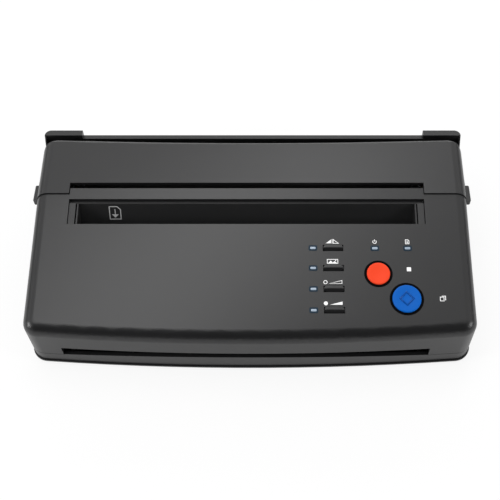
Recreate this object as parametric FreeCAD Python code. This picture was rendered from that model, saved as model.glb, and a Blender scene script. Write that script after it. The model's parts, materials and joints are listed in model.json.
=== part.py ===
import FreeCAD, Part
import math
import os

# Frame: X to the right, Y to the back, Z up, origin on the table under the middle.
# All lengths are millimetres.

# Driving dimensions of the outside
WIDTH = 275.0
DEPTH = 145.0
HEIGHT = 62.5
FOOT_HEIGHT = 2.0
WALL = 2.5
PANEL_SLOPE = 10.6
PANEL_DROP = 22.5
COVER_SLOPE = 5.2
FRONT_BOW = 5.5
FRONT_CORNER_R = 9.5
REAR_CORNER_R = 4.0
SHOULDER_R = 8.0
RIM_PROUD = 0.8
RIM_HEIGHT = 2.4
RIM_ROUND = 1.5
OVERRUN = 10.0

# Clearances
SEAM = 0.35
RUN_FIT = 0.05
EASY_FIT = 0.3

# Planes that follow from the outside
HALF = WIDTH / 2
FRONT_Y = -DEPTH / 2
BACK_Y = DEPTH / 2
CASE_FRONT_Y = FRONT_Y + RIM_PROUD
CASE_HALF = HALF - RIM_PROUD
FLOOR_TOP = FOOT_HEIGHT + WALL
PANEL_FRONT_HEIGHT = HEIGHT - PANEL_DROP
UPRIGHT_SHARE = 0.01

# Rear cover and its hinge
EAR_GAP = 9.0
LID_LENGTH = 41.8
LID_DEPTH = 9.0
COVER_BACK_Y = BACK_Y - EAR_GAP
COVER_BACK_BOW = 2.3
COVER_BACK_R = 10.0
COVER_BACK_EDGE_R = 2.5
HINGE_INSET = 5.0
HINGE_Y = COVER_BACK_Y - HINGE_INSET
HINGE_Z = HEIGHT - LID_DEPTH
PIN_R = 1.9
KNUCKLE_R = 4.2
KNUCKLE_INSET = 17.7
KNUCKLE_IN_X = CASE_HALF - KNUCKLE_INSET
KNUCKLE_WIDTH = 5.0
LUG_WIDTH = 4.0
LUG_R = 2.9
LUG_REACH = 12.0
LUG_POST = 8.0
LUG_TOP_DROP = 0.5
SWING_R = 9.5
SWING_SKIN = 1.0

# Parting of the three shells
SEAM_Y = COVER_BACK_Y - LID_LENGTH
LOWER_EDGE_SHARE = 0.208
LOWER_EDGE = HEIGHT * LOWER_EDGE_SHARE
LIP_RISE = 3.3

# Slots, all on one paper line that lies left of the middle
PAPER_SHIFT = -3.05
SLOT_MARGIN = 25.0
HOPPER_MARGIN = 25.85
PAPER_SLOT_LENGTH = WIDTH - 2 * SLOT_MARGIN
FRONT_SLOT_SHARE = 0.344
FRONT_SLOT_REACH = 15.0
FRONT_SLOT_TOP = HEIGHT * FRONT_SLOT_SHARE
HOPPER_LENGTH = WIDTH - 2 * HOPPER_MARGIN
HOPPER_BEHIND = 3.1
HOPPER_DEPTH = 16.9
HOPPER_BACK_Y = SEAM_Y - HOPPER_BEHIND
HOPPER_FRONT_Y = HOPPER_BACK_Y - HOPPER_DEPTH
CHEEK_GAP = 2.5
CHEEK_BACK_Y = HOPPER_BACK_Y - CHEEK_GAP
CHEEK_WIDTH = 5.6
CHEEK_SUNK = 0.6
FIN_WIDTH = 0.9
FIN_SLIT = 0.7
TONGUE_REACH = 4.3
TONGUE_BACK_Y = SEAM_Y + TONGUE_REACH
TONGUE_THICK = 2.0
EXIT_REACH = 8.0
EXIT_BACK_Y = SEAM_Y + EXIT_REACH
REAR_SLOT_DROP = 4.0
REAR_SLOT_HEIGHT = 6.5
REAR_SLOT_TOP = HINGE_Z - REAR_SLOT_DROP
REAR_SLOT_LOW = REAR_SLOT_TOP - REAR_SLOT_HEIGHT

# Rear posts of the lower case
EAR_DROP = 2.5
EAR_TOP = HEIGHT - EAR_DROP
EAR_LENGTH = 24.5
EAR_THICK = 4.2
EAR_SLANT = 1.6
BAR_DROP = 5.9
BAR_TOP = HEIGHT - BAR_DROP
BAR_THICK = 3.0

# Rollers and drive
PLATEN_BEHIND = 22.3
PLATEN_SHARE = 0.64
PLATEN_Y, PLATEN_Z, PLATEN_R = SEAM_Y + PLATEN_BEHIND, HEIGHT * PLATEN_SHARE, 8.0
FEED_AHEAD = 3.7
FEED_DROP = 16.0
FEED_Y, FEED_Z, FEED_R = HOPPER_FRONT_Y - FEED_AHEAD, PLATEN_Z - FEED_DROP, 7.0
SCAN_AHEAD = 26.0
SCAN_DROP = 0.5
SCAN_Y, SCAN_Z, SCAN_R = FEED_Y - SCAN_AHEAD, FEED_Z - SCAN_DROP, 5.4
SHAFT_R = 3.0
PLATEN_MARGIN = 31.5
PLATEN_LENGTH = WIDTH - 2 * PLATEN_MARGIN
FEED_LENGTH = 130.0
HEAD_MARGIN = 30.5
SCAN_LENGTH = WIDTH - 2 * HEAD_MARGIN
FRAME_THICK = 2.0
FRAME_LEFT_INSET = 18.5
FRAME_RIGHT_INSET = 25.2
FRAME_LEFT_X = FRAME_LEFT_INSET - CASE_HALF
FRAME_RIGHT_X = CASE_HALF - FRAME_RIGHT_INSET
BUSH_FLANGE = 1.0
BUSH_R = 4.6
BUSH_FLANGE_R = 6.0
MODULE = 0.8
PRESSURE_ANGLE = 25.0
BACKLASH = 0.12
TOOTH_CLEARANCE = 0.2
GEAR_WIDTH = 5.0
GEAR_INSET = 20.7
GEAR_X = CASE_HALF - GEAR_INSET
PLATEN_TEETH, FEED_TEETH, SCAN_TEETH = 30, 24, 20
LARGE_IDLER_TEETH, SMALL_IDLER_TEETH, PINION_TEETH = 36, 20, 12
STUD_R = 2.5
MOTOR_R = 9.5
MOTOR_LENGTH = 16.0
MOTOR_LIFT = 0.5
MOTOR_AXIS_Z = FLOOR_TOP + MOTOR_LIFT + MOTOR_R

# Keys and buttons: places across are taken from the right side, places up the panel are shares of its run
PANEL_RUN = HOPPER_FRONT_Y - FRONT_Y
KEY_NAMES = ("mirror_key", "photo_key", "light_tone_key", "dark_tone_key")
KEY_INSET = 86.9
KEY_X = HALF - KEY_INSET
KEY_ROW_SHARES = (0.7857, 0.6105, 0.4313, 0.2520)
KEY_ROWS_Y = tuple(FRONT_Y + PANEL_RUN * share for share in KEY_ROW_SHARES)
KEY_LENGTH = 12.2
KEY_DEPTH = 3.6
KEY_PROUD = 0.8
KEY_TRAVEL = 0.5
KEY_GAP = 0.25
WINDOW_INSET = 99.3
WINDOW_X = HALF - WINDOW_INSET
WINDOW_LENGTH = 3.8
WINDOW_DEPTH = 1.8
WINDOW_PROUD = 0.25
STATUS_INSETS = (61.2, 41.1)
STATUS_X = tuple(HALF - inset for inset in STATUS_INSETS)
STATUS_SHARE = 0.783
STATUS_Y = FRONT_Y + PANEL_RUN * STATUS_SHARE
STOP_INSET, STOP_SHARE, STOP_R_SHARE = 59.7, 0.5606, 0.095
STOP_X, STOP_Y, STOP_R = HALF - STOP_INSET, FRONT_Y + PANEL_RUN * STOP_SHARE, PANEL_RUN * STOP_R_SHARE
COPY_INSET, COPY_SHARE, COPY_R_SHARE = 43.3, 0.3464, 0.1172
COPY_X, COPY_Y, COPY_R = HALF - COPY_INSET, FRONT_Y + PANEL_RUN * COPY_SHARE, PANEL_RUN * COPY_R_SHARE
BUTTON_RING = 1.0
BUTTON_PROUD = 1.1
BUTTON_TRAVEL = 1.0
FLANGE_THICK = 1.0
FLANGE_WIDE = 1.0
BOARD_DEPTH = 9.0
BOARD_THICK = 1.6


# Basic solids

def box(x0, x1, y0, y1, z0, z1):
    corner = FreeCAD.Vector(min(x0, x1), min(y0, y1), min(z0, z1))
    return Part.makeBox(abs(x1 - x0), abs(y1 - y0), abs(z1 - z0), corner)


def rod_x(radius, x0, x1, y, z):
    return Part.makeCylinder(radius, x1 - x0, FreeCAD.Vector(x0, y, z), FreeCAD.Vector(1, 0, 0))


def rod_y(radius, y0, y1, x, z):
    return Part.makeCylinder(radius, y1 - y0, FreeCAD.Vector(x, y0, z), FreeCAD.Vector(0, 1, 0))


def rod_z(radius, z0, z1, x, y):
    return Part.makeCylinder(radius, z1 - z0, FreeCAD.Vector(x, y, z0), FreeCAD.Vector(0, 0, 1))


def side_prism(points, x0, x1):
    """A closed outline of (y, z) points, carried from x0 to x1."""
    corners = [FreeCAD.Vector(x0, y, z) for y, z in points]
    face = Part.Face(Part.makePolygon(corners + corners[:1]))
    return face.extrude(FreeCAD.Vector(x1 - x0, 0, 0))


def fuse_all(shapes):
    joined = shapes[0]
    if len(shapes) > 1:
        joined = shapes[0].fuse(shapes[1:])
    return joined.removeSplitter()


def mirrored(shape):
    return shape.mirror(FreeCAD.Vector(0, 0, 0), FreeCAD.Vector(1, 0, 0))


def both_sides(shape):
    return [shape, mirrored(shape)]


SLOPE_TAN = math.tan(math.radians(PANEL_SLOPE))
COVER_TAN = math.tan(math.radians(COVER_SLOPE))


def panel_z(y):
    return PANEL_FRONT_HEIGHT + (y - FRONT_Y) * SLOPE_TAN


def cover_z(y):
    return HEIGHT - (COVER_BACK_Y - y) * COVER_TAN


def on_panel(shape, x, y):
    """Carries a shape drawn about the origin, with +Z out of the panel, to a place on the panel."""
    tilt = FreeCAD.Rotation(FreeCAD.Vector(1, 0, 0), PANEL_SLOPE)
    placed = shape.copy()
    placed.Placement = FreeCAD.Placement(FreeCAD.Vector(x, y, panel_z(y)), tilt)
    return placed


# Plan outline of the front: straight sides, rounded corners and a front that bows forward

def bow_radius(half_chord, sagitta):
    return (half_chord * half_chord + sagitta * sagitta) / (2 * sagitta)


def front_plan(half, front_y, back_y, corner_r, z0, z1):
    """A prism whose front edge is an arc that stands FRONT_BOW ahead of its corners."""
    radius = bow_radius(HALF, FRONT_BOW) + (CASE_FRONT_Y - front_y)
    centre_y = front_y + radius
    side_y = centre_y - math.sqrt(radius * radius - half * half)
    left = FreeCAD.Vector(-half, side_y, z0)
    right = FreeCAD.Vector(half, side_y, z0)
    nose = FreeCAD.Vector(0, front_y, z0)
    back_right = FreeCAD.Vector(half, back_y, z0)
    back_left = FreeCAD.Vector(-half, back_y, z0)
    edges = [Part.Arc(left, nose, right).toShape(),
             Part.LineSegment(right, back_right).toShape(),
             Part.LineSegment(back_right, back_left).toShape(),
             Part.LineSegment(back_left, left).toShape()]
    solid = Part.Face(Part.Wire(edges)).extrude(FreeCAD.Vector(0, 0, z1 - z0))
    corners = [e for e in solid.Edges if is_upright(e) and e.BoundBox.YMin < side_y + corner_r / 2]
    return solid.makeFillet(corner_r, corners)


def is_upright(edge):
    bounds = edge.BoundBox
    return bounds.ZLength > 0 and bounds.XLength + bounds.YLength < bounds.ZLength * UPRIGHT_SHARE


def below_plane(solid, height, tangent, y_at):
    """Cuts a solid under the plane that has the given height at y_at and rises with y."""
    y0 = FRONT_Y - OVERRUN
    y1 = BACK_Y + OVERRUN
    top = 2 * HEIGHT + OVERRUN
    low = height + (y0 - y_at) * tangent
    high = height + (y1 - y_at) * tangent
    outline = [(y0, low), (y1, high), (y1, top), (y0, top)]
    return solid.cut(side_prism(outline, -HALF - OVERRUN, HALF + OVERRUN))


def soften_top(solid, radius, skip_y):
    """Rounds the edges round a sloping top, but not the one that lies at skip_y."""
    top = max(solid.Faces, key=lambda f: f.CenterOfMass.z if f.normalAt(0, 0).z > 0.5 else 0)
    edges = [e for e in top.Edges if e.BoundBox.YMin < skip_y - radius]
    return solid.makeFillet(radius, edges)


# Front cover: the control panel, its sides and the tongue behind the hopper

PAPER_LEFT = PAPER_SHIFT - HOPPER_LENGTH / 2
PAPER_RIGHT = PAPER_SHIFT + HOPPER_LENGTH / 2
SLOT_LEFT = PAPER_SHIFT - PAPER_SLOT_LENGTH / 2
SLOT_RIGHT = PAPER_SHIFT + PAPER_SLOT_LENGTH / 2


def front_block(inset):
    half = CASE_HALF - inset
    plan = front_plan(half, CASE_FRONT_Y + inset, SEAM_Y + inset, FRONT_CORNER_R - inset,
                      LOWER_EDGE - inset, HEIGHT + OVERRUN)
    block = below_plane(plan, PANEL_FRONT_HEIGHT - inset, SLOPE_TAN, FRONT_Y)
    return soften_top(block, SHOULDER_R - inset, SEAM_Y)


def panel_holes():
    """The holes for keys, buttons and light windows, each square to the panel."""
    deep = BOARD_DEPTH / 2
    holes = []
    length = KEY_LENGTH + 2 * KEY_GAP
    depth = KEY_DEPTH + 2 * KEY_GAP
    for y in KEY_ROWS_Y:
        holes.append(on_panel(box(-length / 2, length / 2, -depth / 2, depth / 2, -deep, deep), KEY_X, y))
    for x, y in window_places():
        half_x = WINDOW_LENGTH / 2
        half_y = WINDOW_DEPTH / 2
        holes.append(on_panel(box(-half_x, half_x, -half_y, half_y, -deep, deep), x, y))
    for x, y, radius in ((STOP_X, STOP_Y, STOP_R), (COPY_X, COPY_Y, COPY_R)):
        holes.append(on_panel(rod_z(radius + BUTTON_RING, -deep, deep, 0, 0), x, y))
    return holes


def window_places():
    return [(WINDOW_X, y) for y in KEY_ROWS_Y] + [(x, STATUS_Y) for x in STATUS_X]


def tongue():
    """The strip behind the hopper, on the panel's own plane."""
    y0 = HOPPER_BACK_Y + WALL / 2
    y1 = TONGUE_BACK_Y
    outline = [(y0, panel_z(y0)), (y1, panel_z(y1)),
               (y1, panel_z(y1) - TONGUE_THICK), (y0, panel_z(y0) - TONGUE_THICK)]
    return side_prism(outline, PAPER_LEFT, PAPER_RIGHT)


def board_posts():
    """Posts under the panel that carry the key board."""
    posts = []
    for x, y in board_screw_places():
        posts.append(on_panel(rod_z(BOARD_POST_R, -BOARD_DEPTH, -WALL / 2, 0, 0), x, y))
    return posts


BOARD_POST_R = 2.2
BOARD_INSETS = (108.5, 29.5)
BOARD_X0, BOARD_X1 = HALF - BOARD_INSETS[0], HALF - BOARD_INSETS[1]
BOARD_SHARES = (0.1685, 0.8827)
BOARD_Y0, BOARD_Y1 = FRONT_Y + PANEL_RUN * BOARD_SHARES[0], FRONT_Y + PANEL_RUN * BOARD_SHARES[1]
BOARD_EDGE = 3.0


def board_screw_places():
    xs = (BOARD_X0 + BOARD_EDGE, BOARD_X1 - BOARD_EDGE)
    ys = (BOARD_Y0 + BOARD_EDGE, BOARD_Y1 - BOARD_EDGE)
    places = [(x, y) for x in xs for y in ys]
    return [(x, y) for x, y in places if not (x > COPY_X and y < COPY_Y)]


def make_front_cover():
    shell = front_block(0).cut(front_block(WALL))
    shell = fuse_all([shell, tongue()] + board_posts() + front_posts())
    hopper = box(PAPER_LEFT, PAPER_RIGHT, HOPPER_FRONT_Y, HOPPER_BACK_Y, LOWER_EDGE, HEIGHT + OVERRUN)
    slot = box(SLOT_LEFT, SLOT_RIGHT, FRONT_Y - OVERRUN, FRONT_Y + FRONT_SLOT_REACH, 0, FRONT_SLOT_TOP)
    return shell.cut([hopper, slot] + panel_holes() + front_post_bores())


# Lower case: tray, tall rear sides, rear wall with the paper slot, and the rear posts

CASE_TOP = HINGE_Z - SEAM


def back_bar_outline():
    inner = BACK_Y - EAR_THICK
    return [(BACK_Y - WALL, REAR_SLOT_TOP), (inner, REAR_SLOT_TOP + EAR_THICK), (inner, BAR_TOP),
            (inner + BAR_THICK, BAR_TOP), (BACK_Y, BAR_TOP - EAR_SLANT), (BACK_Y, REAR_SLOT_TOP)]


def ear(side):
    """A raised rear corner post, with the thin return that falls forward along the side wall."""
    inner = BACK_Y - EAR_THICK
    x_out = side * CASE_HALF
    x_in = side * (CASE_HALF - EAR_LENGTH)
    post = box(x_in, x_out, inner, BACK_Y, CASE_TOP - WALL, EAR_TOP)
    foot_y = COVER_BACK_Y + SEAM
    outline = [(inner, CASE_TOP - WALL), (inner, EAR_TOP), (foot_y, CASE_TOP), (foot_y, CASE_TOP - WALL)]
    slant = side_prism(outline, min(x_out, x_out - side * WALL / 2), max(x_out, x_out - side * WALL / 2))
    outer = [e for e in post.Edges if is_upright(e) and e.BoundBox.YMin > inner + EAR_THICK / 2
             and abs(e.CenterOfMass.x) > CASE_HALF - WALL]
    return post.makeFillet(REAR_CORNER_R, outer).fuse(slant)


def case_plan(inset, z0, z1):
    """The whole plan of the case: bowed front, round front corners and small rear corners."""
    solid = front_plan(CASE_HALF - inset, CASE_FRONT_Y + inset, BACK_Y - inset,
                       FRONT_CORNER_R - inset, z0, z1)
    rear = [e for e in solid.Edges if is_upright(e) and e.BoundBox.YMin > BACK_Y - inset - REAR_CORNER_R / 2]
    return solid.makeFillet(REAR_CORNER_R - inset / 2, rear)


def base_rim():
    """The foot rim: a narrow ledge all round the bottom, rounded below."""
    half = CASE_HALF + RIM_PROUD
    solid = front_plan(half, CASE_FRONT_Y - RIM_PROUD, BACK_Y, FRONT_CORNER_R + RIM_PROUD,
                       FOOT_HEIGHT, FOOT_HEIGHT + RIM_HEIGHT)
    rear = [e for e in solid.Edges if is_upright(e) and e.BoundBox.YMin > BACK_Y - REAR_CORNER_R / 2]
    solid = solid.makeFillet(REAR_CORNER_R, rear)
    low = [e for e in solid.Edges if e.BoundBox.ZMax < FOOT_HEIGHT + RIM_ROUND / 2]
    return solid.makeFillet(RIM_ROUND, low)


def paper_lip():
    """The front wall's arched top, which rises inside the front slot."""
    half_chord = PAPER_SLOT_LENGTH / 2 - SEAM
    radius = bow_radius(half_chord, LIP_RISE)
    disc = rod_y(radius, FRONT_Y - OVERRUN, FRONT_Y + OVERRUN, PAPER_SHIFT, LOWER_EDGE + LIP_RISE - radius)
    band = case_plan(0, LOWER_EDGE - SEAM, LOWER_EDGE + LIP_RISE).cut(case_plan(WALL, 0, HEIGHT))
    window = box(SLOT_LEFT + SEAM, SLOT_RIGHT - SEAM, FRONT_Y, FRONT_Y + OVERRUN, 0, HEIGHT)
    return band.common(window).common(disc)


def hinge_lug(side):
    """A moulded post with an arm that reaches back to hold the hinge pin."""
    arm_y = HINGE_Y - LUG_REACH
    outline = [(arm_y - LUG_POST, FLOOR_TOP - WALL / 2), (arm_y - LUG_POST, HINGE_Z + LUG_R - LUG_TOP_DROP),
               (HINGE_Y, HINGE_Z + LUG_R), (HINGE_Y, HINGE_Z - LUG_R), (arm_y, HINGE_Z - LUG_R),
               (arm_y, FLOOR_TOP - WALL / 2)]
    x0 = KNUCKLE_IN_X + KNUCKLE_WIDTH + EASY_FIT
    x1 = x0 + LUG_WIDTH
    lug = side_prism(outline, x0, x1).fuse(rod_x(LUG_R, x0, x1, HINGE_Y, HINGE_Z))
    lug = lug.cut(rod_x(PIN_R, x0 - OVERRUN, x1 + OVERRUN, HINGE_Y, HINGE_Z))
    return lug if side > 0 else mirrored(lug)


LATCH_INSET = 7.7
LATCH_X = CASE_HALF - LATCH_INSET
LATCH_WIDTH = 4.0
LATCH_BEHIND = 8.3
LATCH_Y = SEAM_Y + LATCH_BEHIND
LATCH_Z = 20.0
TAB_LENGTH = 12.0
TAB_HEIGHT = 4.5
TAB_DROP = 5.5
TAB_Y0, TAB_Y1 = LATCH_Y - TAB_LENGTH / 2, LATCH_Y + TAB_LENGTH / 2
TAB_Z1 = HINGE_Z - TAB_DROP
TAB_Z0 = TAB_Z1 - TAB_HEIGHT
TAB_PROUD = 3.2
LATCH_SWING = 5.0
LATCH_BOSS_R = 4.0


def tab_window(side):
    reach = (TAB_Z1 - LATCH_Z) * math.tan(math.radians(LATCH_SWING)) + EASY_FIT
    drop = (TAB_Y1 - LATCH_Y + reach) * math.tan(math.radians(LATCH_SWING)) + EASY_FIT
    x0 = CASE_HALF - WALL - OVERRUN / 2
    window = box(x0, HALF + OVERRUN, TAB_Y0 - EASY_FIT, TAB_Y1 + reach, TAB_Z0 - drop, TAB_Z1 + drop)
    return window if side > 0 else mirrored(window)


def latch_boss(side):
    boss = rod_x(LATCH_BOSS_R, LATCH_X + LATCH_WIDTH / 2 + EASY_FIT, CASE_HALF - WALL / 2, LATCH_Y, LATCH_Z)
    boss = boss.cut(rod_x(PIN_R, 0, CASE_HALF - WALL, LATCH_Y, LATCH_Z))
    return boss if side > 0 else mirrored(boss)


JACK_INSET = 47.5
JACK_X, JACK_Z = JACK_INSET - HALF, 14.0
JACK_WIDTH, JACK_HEIGHT, JACK_DEPTH = 10.0, 11.0, 13.0
JACK_BORE_R = 3.1
JACK_BORE_DEPTH = 9.0
JACK_PIN_R = 1.0
ROCKER_INSET = 75.5
ROCKER_X, ROCKER_Z = ROCKER_INSET - HALF, 15.0
ROCKER_WIDTH, ROCKER_HEIGHT = 19.0, 13.0
ROCKER_RIM = 1.2
SWITCH_DEPTH = 14.0


def swing_relief(side):
    """Thins the side wall beside the hinge, where the lid's rear corner swings down inside it."""
    relief = rod_x(SWING_R, CASE_HALF - WALL - OVERRUN / 2, CASE_HALF - SWING_SKIN, HINGE_Y, HINGE_Z)
    relief = relief.cut(box(0, CASE_HALF - WALL - EASY_FIT, FRONT_Y, BACK_Y, 0, HEIGHT))
    return relief if side > 0 else mirrored(relief)


def make_lower_case():
    outer = case_plan(0, FOOT_HEIGHT + RIM_ROUND, CASE_TOP)
    body = outer.cut(case_plan(WALL, FLOOR_TOP, CASE_TOP + OVERRUN))
    front_gap = box(-HALF - OVERRUN, HALF + OVERRUN, FRONT_Y - OVERRUN, SEAM_Y + SEAM,
                    LOWER_EDGE - SEAM, HEIGHT)
    body = body.cut(front_gap)
    bar = side_prism(back_bar_outline(), -CASE_HALF + EAR_LENGTH, CASE_HALF - EAR_LENGTH)
    parts = [body, base_rim().cut(case_plan(WALL, FLOOR_TOP, HEIGHT)), paper_lip(), bar, ear(-1), ear(1)]
    for side in (-1, 1):
        parts += [hinge_lug(side), latch_boss(side)]
    body = fuse_all(parts)
    cuts = [box(SLOT_LEFT, SLOT_RIGHT, BACK_Y - OVERRUN, BACK_Y + OVERRUN, REAR_SLOT_LOW, REAR_SLOT_TOP),
            tab_window(-1), tab_window(1), swing_relief(-1), swing_relief(1)]
    y0 = BACK_Y - WALL - OVERRUN / 2
    cuts.append(rod_y(JACK_BORE_R + BUSH_FLANGE, y0, BACK_Y + OVERRUN, JACK_X, JACK_Z))
    cuts.append(box(ROCKER_X - ROCKER_WIDTH / 2, ROCKER_X + ROCKER_WIDTH / 2, y0, BACK_Y + OVERRUN,
                    ROCKER_Z - ROCKER_HEIGHT / 2, ROCKER_Z + ROCKER_HEIGHT / 2))
    cuts += foot_sockets() + vent_slots() + screw_head_bores() + gear_wells()
    return body.cut(cuts)


def gear_wells():
    """Room in the floor for the idler gears, where the machine is so low that they reach it."""
    wells = []
    for (y, z), teeth in zip(idler_places(), (LARGE_IDLER_TEETH, SMALL_IDLER_TEETH)):
        radius = pitch_radius(teeth) + MODULE + EASY_FIT
        wells.append(rod_x(radius, GEAR_X - EASY_FIT, GEAR_X + GEAR_WIDTH + EASY_FIT, y, z))
    return wells


FOOT_R = 6.0
FOOT_SUNK = 1.0
FOOT_ROUND = 0.5
FOOT_INSET = 20.0


def foot_places():
    xs = (-CASE_HALF + FOOT_INSET, CASE_HALF - FOOT_INSET)
    ys = (FRONT_Y + FOOT_INSET, BACK_Y - FOOT_INSET)
    return [(x, y) for x in xs for y in ys]


def foot_sockets():
    return [rod_z(FOOT_R, 0, FOOT_HEIGHT + FOOT_SUNK, x, y) for x, y in foot_places()]


def make_feet():
    feet = []
    for x, y in foot_places():
        foot = rod_z(FOOT_R, 0, FOOT_HEIGHT + FOOT_SUNK, x, y)
        low = [e for e in foot.Edges if e.BoundBox.ZMax < FOOT_HEIGHT / 2]
        feet.append(foot.makeFillet(FOOT_ROUND, low))
    return Part.makeCompound(feet)


VENT_WIDTH = 2.0
VENT_LENGTH = 24.0
VENT_PITCH = 5.0
VENT_COUNT = 8
VENT_INSET = 107.5
VENT_X = HALF - VENT_INSET
VENT_AHEAD = 2.0
VENT_Y = FEED_Y - VENT_AHEAD


def vent_slots():
    """Cooling slots through the floor under the motor's end of the machine."""
    slots = []
    for i in range(VENT_COUNT):
        x = VENT_X + i * VENT_PITCH
        slots.append(box(x, x + VENT_WIDTH, VENT_Y, VENT_Y + VENT_LENGTH, 0, FLOOR_TOP + OVERRUN / 2))
    return slots


# Rear cover: a shallow lid whose back edge bows forward a little, with hinge knuckles below

HEAD_DEPTH = 15.0
HEAD_THICK = 4.0
HEAD_Y0, HEAD_Y1 = PLATEN_Y - HEAD_DEPTH / 2, PLATEN_Y + HEAD_DEPTH / 2
HEAD_Z0 = PLATEN_Z + PLATEN_R + EASY_FIT
HEAD_Z1 = HEAD_Z0 + HEAD_THICK
HEAD_TRAVEL = 1.2
HEAD_PIN_R = 1.0
HEAD_PIN_LENGTH = 4.0
HEAD_HALF = HALF - HEAD_MARGIN
HANGER_THICK = 2.5
SPRING_R = 2.5
SPRING_COUNT = 4
TOE_LENGTH = 2.5
TOE_THICK = 1.5
TOE_DROP = 5.1
TOE_Z0 = HINGE_Z - TOE_DROP


def cover_block(inset):
    """The lid's block: rounded shoulders at the sides and a small round along the back."""
    half = CASE_HALF - inset
    front = SEAM_Y + SEAM
    radius = bow_radius(CASE_HALF - COVER_BACK_R, COVER_BACK_BOW) + inset
    z0 = HINGE_Z - inset
    back = COVER_BACK_Y - inset
    middle = back - COVER_BACK_BOW
    left = FreeCAD.Vector(-half, back, z0)
    right = FreeCAD.Vector(half, back, z0)
    centre = middle + radius
    side_y = centre - math.sqrt(radius * radius - half * half)
    shift = FreeCAD.Vector(0, side_y - back, 0)
    front_left = FreeCAD.Vector(-half, front, z0)
    front_right = FreeCAD.Vector(half, front, z0)
    edges = [Part.LineSegment(front_left, front_right).toShape(),
             Part.LineSegment(front_right, right + shift).toShape(),
             Part.Arc(right + shift, FreeCAD.Vector(0, middle, z0), left + shift).toShape(),
             Part.LineSegment(left + shift, front_left).toShape()]
    solid = Part.Face(Part.Wire(edges)).extrude(FreeCAD.Vector(0, 0, HEIGHT))
    corners = [e for e in solid.Edges if is_upright(e) and e.BoundBox.YMin > front + COVER_BACK_R]
    solid = solid.makeFillet(COVER_BACK_R - inset, corners)
    solid = below_plane(solid, HEIGHT - inset, COVER_TAN, COVER_BACK_Y)
    if inset == 0:
        solid = round_back_edge(solid)
    return round_cover(solid, half, inset)


def round_back_edge(solid):
    """The outside's rear edge and corners get a small round, which also lets the lid swing past the posts."""
    top = max(solid.Faces, key=lambda f: f.CenterOfMass.z if f.normalAt(0, 0).z > 0.5 else 0)
    edges = [e for e in top.Edges if e.BoundBox.YMin > COVER_BACK_Y - COVER_BACK_R - WALL]
    return solid.makeFillet(COVER_BACK_EDGE_R, edges)


def round_cover(solid, half, inset):
    """Shoulders are cut with a long rounded bar, and the back edge gets its own small round."""
    radius = SHOULDER_R - inset
    y0 = SEAM_Y - OVERRUN
    y1 = COVER_BACK_Y + OVERRUN
    cuts = []
    for side in (-1, 1):
        x_out = side * (half + OVERRUN)
        x_in = side * (half - radius)
        bar = box(x_in, x_out, y0, y1, -radius, 2 * radius)
        bar = bar.cut(rod_y(radius, y0, y1, x_in, -radius))
        bar.rotate(FreeCAD.Vector(0, COVER_BACK_Y, 0), FreeCAD.Vector(1, 0, 0), COVER_SLOPE)
        bar.translate(FreeCAD.Vector(0, 0, HEIGHT - inset))
        cuts.append(bar)
    return solid.cut(cuts)


def lid_knuckle(side):
    top = cover_z(HINGE_Y) - WALL / 2
    x0 = KNUCKLE_IN_X
    x1 = x0 + KNUCKLE_WIDTH
    outline = [(HINGE_Y - KNUCKLE_R, HINGE_Z), (HINGE_Y - KNUCKLE_R, top), (HINGE_Y + KNUCKLE_R, top),
               (HINGE_Y + KNUCKLE_R, HINGE_Z)]
    knuckle = side_prism(outline, x0, x1).fuse(rod_x(KNUCKLE_R, x0, x1, HINGE_Y, HINGE_Z))
    knuckle = knuckle.cut(rod_x(PIN_R + RUN_FIT, x0 - OVERRUN, x1 + OVERRUN, HINGE_Y, HINGE_Z))
    return knuckle if side > 0 else mirrored(knuckle)


def head_hanger(x0):
    """A plate under the lid with a slot that lets the head's end pin float up and down."""
    pin_z = (HEAD_Z0 + HEAD_Z1) / 2
    middle = (HEAD_Y0 + HEAD_Y1) / 2
    half = HEAD_PIN_R + WALL
    low = HEAD_Z0 - HEAD_PIN_R
    plate = side_prism([(middle - half, low), (middle - half, cover_z(middle - half) - WALL / 2),
                        (middle + half, cover_z(middle + half) - WALL / 2), (middle + half, low)],
                       x0, x0 + HANGER_THICK)
    slot_r = HEAD_PIN_R + EASY_FIT / 2
    x1 = x0 + HANGER_THICK
    slot = fuse_all([rod_x(slot_r, x0 - OVERRUN, x1 + OVERRUN, middle, pin_z),
                     rod_x(slot_r, x0 - OVERRUN, x1 + OVERRUN, middle, pin_z + HEAD_TRAVEL + EASY_FIT),
                     box(x0 - OVERRUN, x1 + OVERRUN, middle - slot_r, middle + slot_r,
                         pin_z, pin_z + HEAD_TRAVEL + EASY_FIT)])
    return plate.cut(slot)


def catch_toe(side):
    """A toe under the lid that the latch's hook takes hold of."""
    x0 = LATCH_X - LATCH_WIDTH / 2
    x1 = x0 + LATCH_WIDTH / 2
    y0 = TAB_Y0 + EASY_FIT
    top = cover_z(y0) - WALL / 2
    leg = side_prism([(y0, TOE_Z0), (y0, top), (y0 + TOE_THICK, top), (y0 + TOE_THICK, TOE_Z0 + TOE_THICK),
                      (y0 + TOE_LENGTH, TOE_Z0 + TOE_THICK), (y0 + TOE_LENGTH, TOE_Z0)], x0, x1)
    return leg if side > 0 else mirrored(leg)


def spring_places():
    pitch = 2 * HEAD_HALF / SPRING_COUNT
    start = PAPER_SHIFT - HEAD_HALF + pitch / 2
    return [start + i * pitch for i in range(SPRING_COUNT)]


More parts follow.
